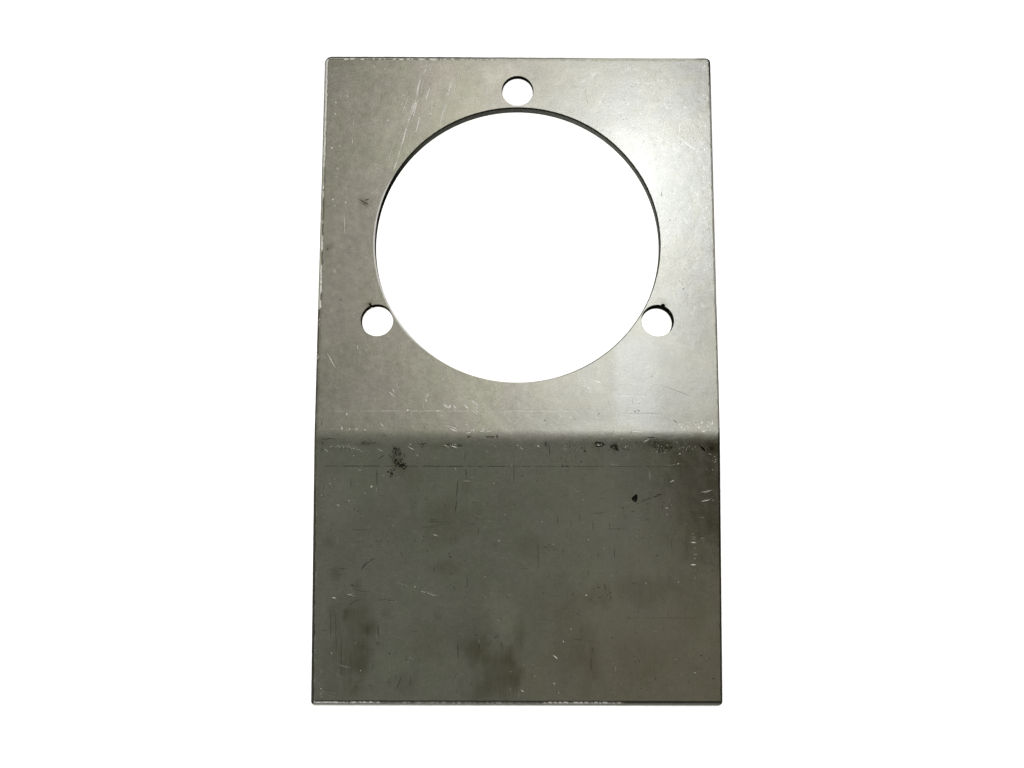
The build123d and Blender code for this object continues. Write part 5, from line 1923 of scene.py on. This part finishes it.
# ---- light: a studio dome.  A and B are the angles from straight up, towards +X and +Y
world = bpy.data.worlds.new("studio")
bpy.context.scene.world = world
world.use_nodes = True
wt = world.node_tree
wt.nodes.clear()
w = Graph(wt)
bg = w.new("ShaderNodeBackground")
wo = w.new("ShaderNodeOutputWorld")
w.link(bg.outputs[0], wo.inputs["Surface"])
tc = w.new("ShaderNodeTexCoord")
sep = w.new("ShaderNodeSeparateXYZ")
w.link(tc.outputs["Generated"], sep.inputs[0])
dx, dy, dz = sep.outputs[0], sep.outputs[1], sep.outputs[2]
zc = w.m("MAXIMUM", dz, 0.02)
DEG = 57.29578
A = w.mul(w.m("ARCTAN2", dx, zc), DEG)
B = w.mul(w.m("ARCTAN2", dy, zc), DEG)
E = w.mul(w.m("ARCSINE", dz), DEG)
ramp = w.new("ShaderNodeValToRGB")
ramp.color_ramp.interpolation = "LINEAR"
PANEL = (  # A in degrees, radiance, coolness
    (-20, 0.30, 0.0), (-8, 0.30, 0.0), (-6, 0.375, 0.0), (-4, 0.45, 0.0), (-2, 0.63, 0.0), (0, 0.86, 0.05), (2, 1.10, 0.2),
    (2.9, 1.24, 0.35), (4, 1.38, 0.5), (5.5, 1.58, 0.8), (6.4, 1.34, 0.75), (7.2, 0.99, 0.5), (8.6, 0.74, 0.25), (20, 0.66, 0.2),
)
els = ramp.color_ramp.elements
while len(els) > 1:
    els.remove(els[-1])
for i, (a, v, c) in enumerate(PANEL):
    e = els[0] if i == 0 else els.new((a + 20) / 40.0)
    e.position = (a + 20) / 40.0
    e.color = (v / 2 * (1.03 - 0.06 * c), v / 2 * (1.0 + 0.005 * c), v / 2 * (1.0 + 0.15 * c), 1.0)
w.link(w.m("DIVIDE", w.add(A, 20.0), 40.0), ramp.inputs[0])
panel = w.tint(ramp.outputs[0], 2.0)
# a hotter spot in the panel
def glow(a, b, wa, wb):
    ra = w.m("DIVIDE", w.m("SUBTRACT", A, a), wa)
    rb = w.m("DIVIDE", w.m("SUBTRACT", B, b), wb)
    return w.m("EXPONENT", w.mul(w.add(w.mul(ra, ra), w.mul(rb, rb)), -0.5))


panel = w.tint(panel, w.mad(glow(6.05, 20.8, 1.36, 2.0), 2.85, 1.0))
panel = w.tint(panel, w.mad(glow(-2.8, 23.9, 1.6, 1.4), 1.55, 1.0))
cool = w.mul(w.m("MAXIMUM", glow(6.6, 20.5, 1.6, 2.8), w.mul(glow(3.4, 24.0, 1.6, 1.4), 0.8)), w.step(B, 26.5, 24.8))
panel = w.mix(cool, panel, w.shade(panel, (0.985, 1.0, 1.10)))
panel = w.tint(panel, w.mad(w.step(B, 24.2, 27.5), -0.13, 1.0))
panel = w.tint(panel, w.mad(w.mul(w.step(B, 22.2, 24.6), w.step(A, 1.5, 3.5)), -0.14, 1.0))
panel = w.tint(panel, w.mad(w.mul(w.step(B, 17.0, 13.5), w.step(A, 0.5, 2.5)), 0.10, 1.0))
panel = w.tint(panel, w.mad(w.mul(w.step(B, 22.2, 24.2), w.mul(w.step(A, 1.8, 2.8), w.step(A, 4.7, 4.0))), -0.10, 1.0))
panel = w.tint(panel, w.mad(w.mul(w.step(B, 23.4, 22.0), w.mul(w.step(B, 17.4, 18.8), w.step(A, -4.8, -6.2))), 0.13, 1.0))
panel = w.tint(panel, w.mad(w.mul(w.step(B, 19.6, 18.2), w.mul(w.step(B, 13.4, 15.4), w.step(A, 4.6, 6.0))), -0.10, 1.0))
panel = w.tint(panel, w.mad(w.mul(w.step(A, 2.0, 0.0), w.step(B, 24.8, 26.2)), -0.14, 1.0))
panel = w.tint(panel, w.mad(w.mul(w.step(A, -6.2, -7.4), w.step(B, 22.6, 24.4)), -0.13, 1.0))
panel = w.tint(panel, w.mad(w.mul(w.step(A, -7.8, -8.5), w.step(B, 21.0, 19.6)), -0.16, 1.0))
panel = w.tint(panel, w.mad(w.mul(w.step(A, 6.3, 7.6), w.mul(w.step(B, 25.2, 23.8), w.step(B, 16.2, 18.0))), -0.22, 1.0))
panel = w.tint(panel, w.mad(w.mul(w.step(A, 3.6, 5.2), w.mul(w.step(B, 20.2, 19.2), w.step(B, 16.4, 17.8))), -0.14, 1.0))
panel = w.tint(panel, w.mad(w.mul(w.step(A, 1.2, 2.6), w.mul(w.step(A, 5.0, 4.0), w.step(B, 23.0, 24.4))), -0.15, 1.0))
panel = w.tint(panel, w.mad(w.mul(w.step(A, 0.2, 2.4), w.mul(w.step(B, 9.8, 11.2), w.step(B, 14.4, 12.8))), 0.08, 1.0))
panel = w.tint(panel, w.mad(w.mul(w.step(A, -3.6, -4.8), w.mul(w.step(A, -8.2, -7.4), w.step(B, 21.4, 20.2))), 0.08, 1.0))
panel = w.tint(panel, w.mad(w.step(B, 30.0, 42.0), -0.55, 1.0))
# the dark side: what the blank leg reflects
corner = w.m("MAXIMUM", w.mul(w.step(A, 5.5, 7.6), w.step(B, -7.5, -5.9)), w.mul(w.mul(w.step(A, 3.9, 5.8), w.step(B, -3.5, -2.3)), w.mad(w.mul(w.step(A, 6.5, 7.4), w.step(B, -1.4, 0.4)), -0.85, 1.0)))
dim = w.tint(w.mix(corner, (0.150, 0.155, 0.151), (0.040, 0.036, 0.028)), w.mad(glow(4.4, -4.3, 1.5, 2.0), 0.74, 1.0))
dim = w.tint(dim, w.mad(w.mul(w.step(A, 3.0, 4.4), w.step(B, -3.2, -4.4)), 0.12, 1.0))
dim = w.tint(dim, w.mad(w.mul(w.step(A, 1.5, 5.0), w.step(B, -11.0, -12.4)), -0.20, 1.0))
dim = w.tint(dim, w.mad(w.mul(w.step(A, -7.4, -6.2), w.step(A, -2.4, -3.6)), 0.09, 1.0))
dim = w.tint(dim, w.mad(w.mul(w.mul(w.step(A, 3.0, 4.6), w.step(A, 8.0, 7.2)), w.mul(w.step(B, -5.2, -6.6), w.step(B, -12.2, -11.2))), 0.16, 1.0))
dim = w.tint(dim, w.mad(w.mul(w.step(A, 7.5, 8.3), w.mul(w.step(B, -8.2, -6.8), w.step(B, -2.0, -3.2))), -0.22, 1.0))
dim = w.tint(dim, w.mad(w.mul(w.step(A, 7.3, 8.5), w.mul(w.step(B, -7.6, -6.2), w.step(B, -1.0, -2.6))), -0.25, 1.0))
dim = w.tint(dim, w.mad(w.mul(w.mul(w.step(A, 1.0, 3.6), w.step(A, 8.2, 6.6)), w.step(B, -1.2, 0.6)), -0.26, 1.0))
warm = w.m("MAXIMUM", w.step(A, 6.4, 7.8), w.mul(w.step(A, -1.0, 2.5), w.step(B, -7.4, -9.6)))
dim = w.mix(warm, dim, w.shade(dim, (1.085, 1.0, 0.87)))
late = w.mul(w.step(A, 1.0, 4.0), 0.13)
rise = w.add(w.mul(w.step(B, 2.0, 8.0), w.mad(late, -1.0, 0.25)), w.mul(w.step(B, 7.6, 12.8), w.add(late, 0.75)))
top = w.mix(rise, dim, panel)
# ring of high soft light, brighter towards -X and -Y, and a pale horizon
hl = w.m("SQRT", w.m("MAXIMUM", w.m("SUBTRACT", 1.0, w.mul(dz, dz)), 1e-4))
cx, cy = w.m("DIVIDE", dx, hl), w.m("DIVIDE", dy, hl)
band = w.m("MULTIPLY_ADD", cx, -0.6, w.m("MULTIPLY_ADD", cy, -0.35, 1.4))
low = w.new("ShaderNodeCombineXYZ")
for i in range(3):
    low.inputs[i].default_value = 1.0
level = w.m("ADD", w.mul(w.m("SUBTRACT", band, 1.0), w.step(E, 12.0, 20.0)), 1.0)
gap = w.step(w.m("ABSOLUTE", w.mul(w.mul(cx, cy), 2.0)), 0.62, 0.94)
gap = w.mul(gap, w.mul(w.step(E, 3.0, 11.0), w.step(E, 60.0, 48.0)))
axis = w.m("MAXIMUM", w.step(cx, -0.80, -0.93), w.step(cy, -0.80, -0.93))
gap = w.m("MAXIMUM", gap, w.mul(w.mul(axis, 0.80), w.mul(w.step(E, 8.0, 15.0), w.step(E, 47.0, 41.0))))
lowc = w.tint(low.outputs[0], w.mul(level, w.mad(gap, -0.64, 1.0)))
sky = w.mix(w.step(E, 47.0, 53.5), lowc, top)
w.link(sky, bg.inputs["Color"])
bg.inputs["Strength"].default_value = 1.0

# ---- camera ---------------------------------------------------------------------------
cam_data = bpy.data.cameras.new("camera")
cam_data.sensor_width = 36.0
cam_data.lens = 1382.4 / 1024.0 * 36.0
cam_data.clip_start, cam_data.clip_end = 0.01, 20.0
cam_data.shift_x = -0.40 / 1024.0
cam = bpy.data.objects.new("camera", cam_data)
bpy.context.scene.collection.objects.link(cam)
ROLL = 0.0017
fwd = Vector((0.0, 0.13951552, -0.99021988))
up0 = Vector((0.0, 0.99021988, 0.13951552))
right0 = Vector((1.0, 0.0, 0.0))
right = right0 * math.cos(ROLL) + up0 * math.sin(ROLL)
up = up0 * math.cos(ROLL) - right0 * math.sin(ROLL)
rot = Matrix((right, up, -fwd)).transposed().to_4x4()
cam.matrix_world = Matrix.Translation(Vector((-0.001524, -0.06574351, 0.44050385))) @ rot
bpy.context.scene.camera = cam

bpy.context.scene.view_settings.view_transform = "Standard"
bpy.context.scene.view_settings.look = "None"
bpy.context.scene.view_settings.exposure = 0.0
bpy.context.scene.view_settings.gamma = 1.0
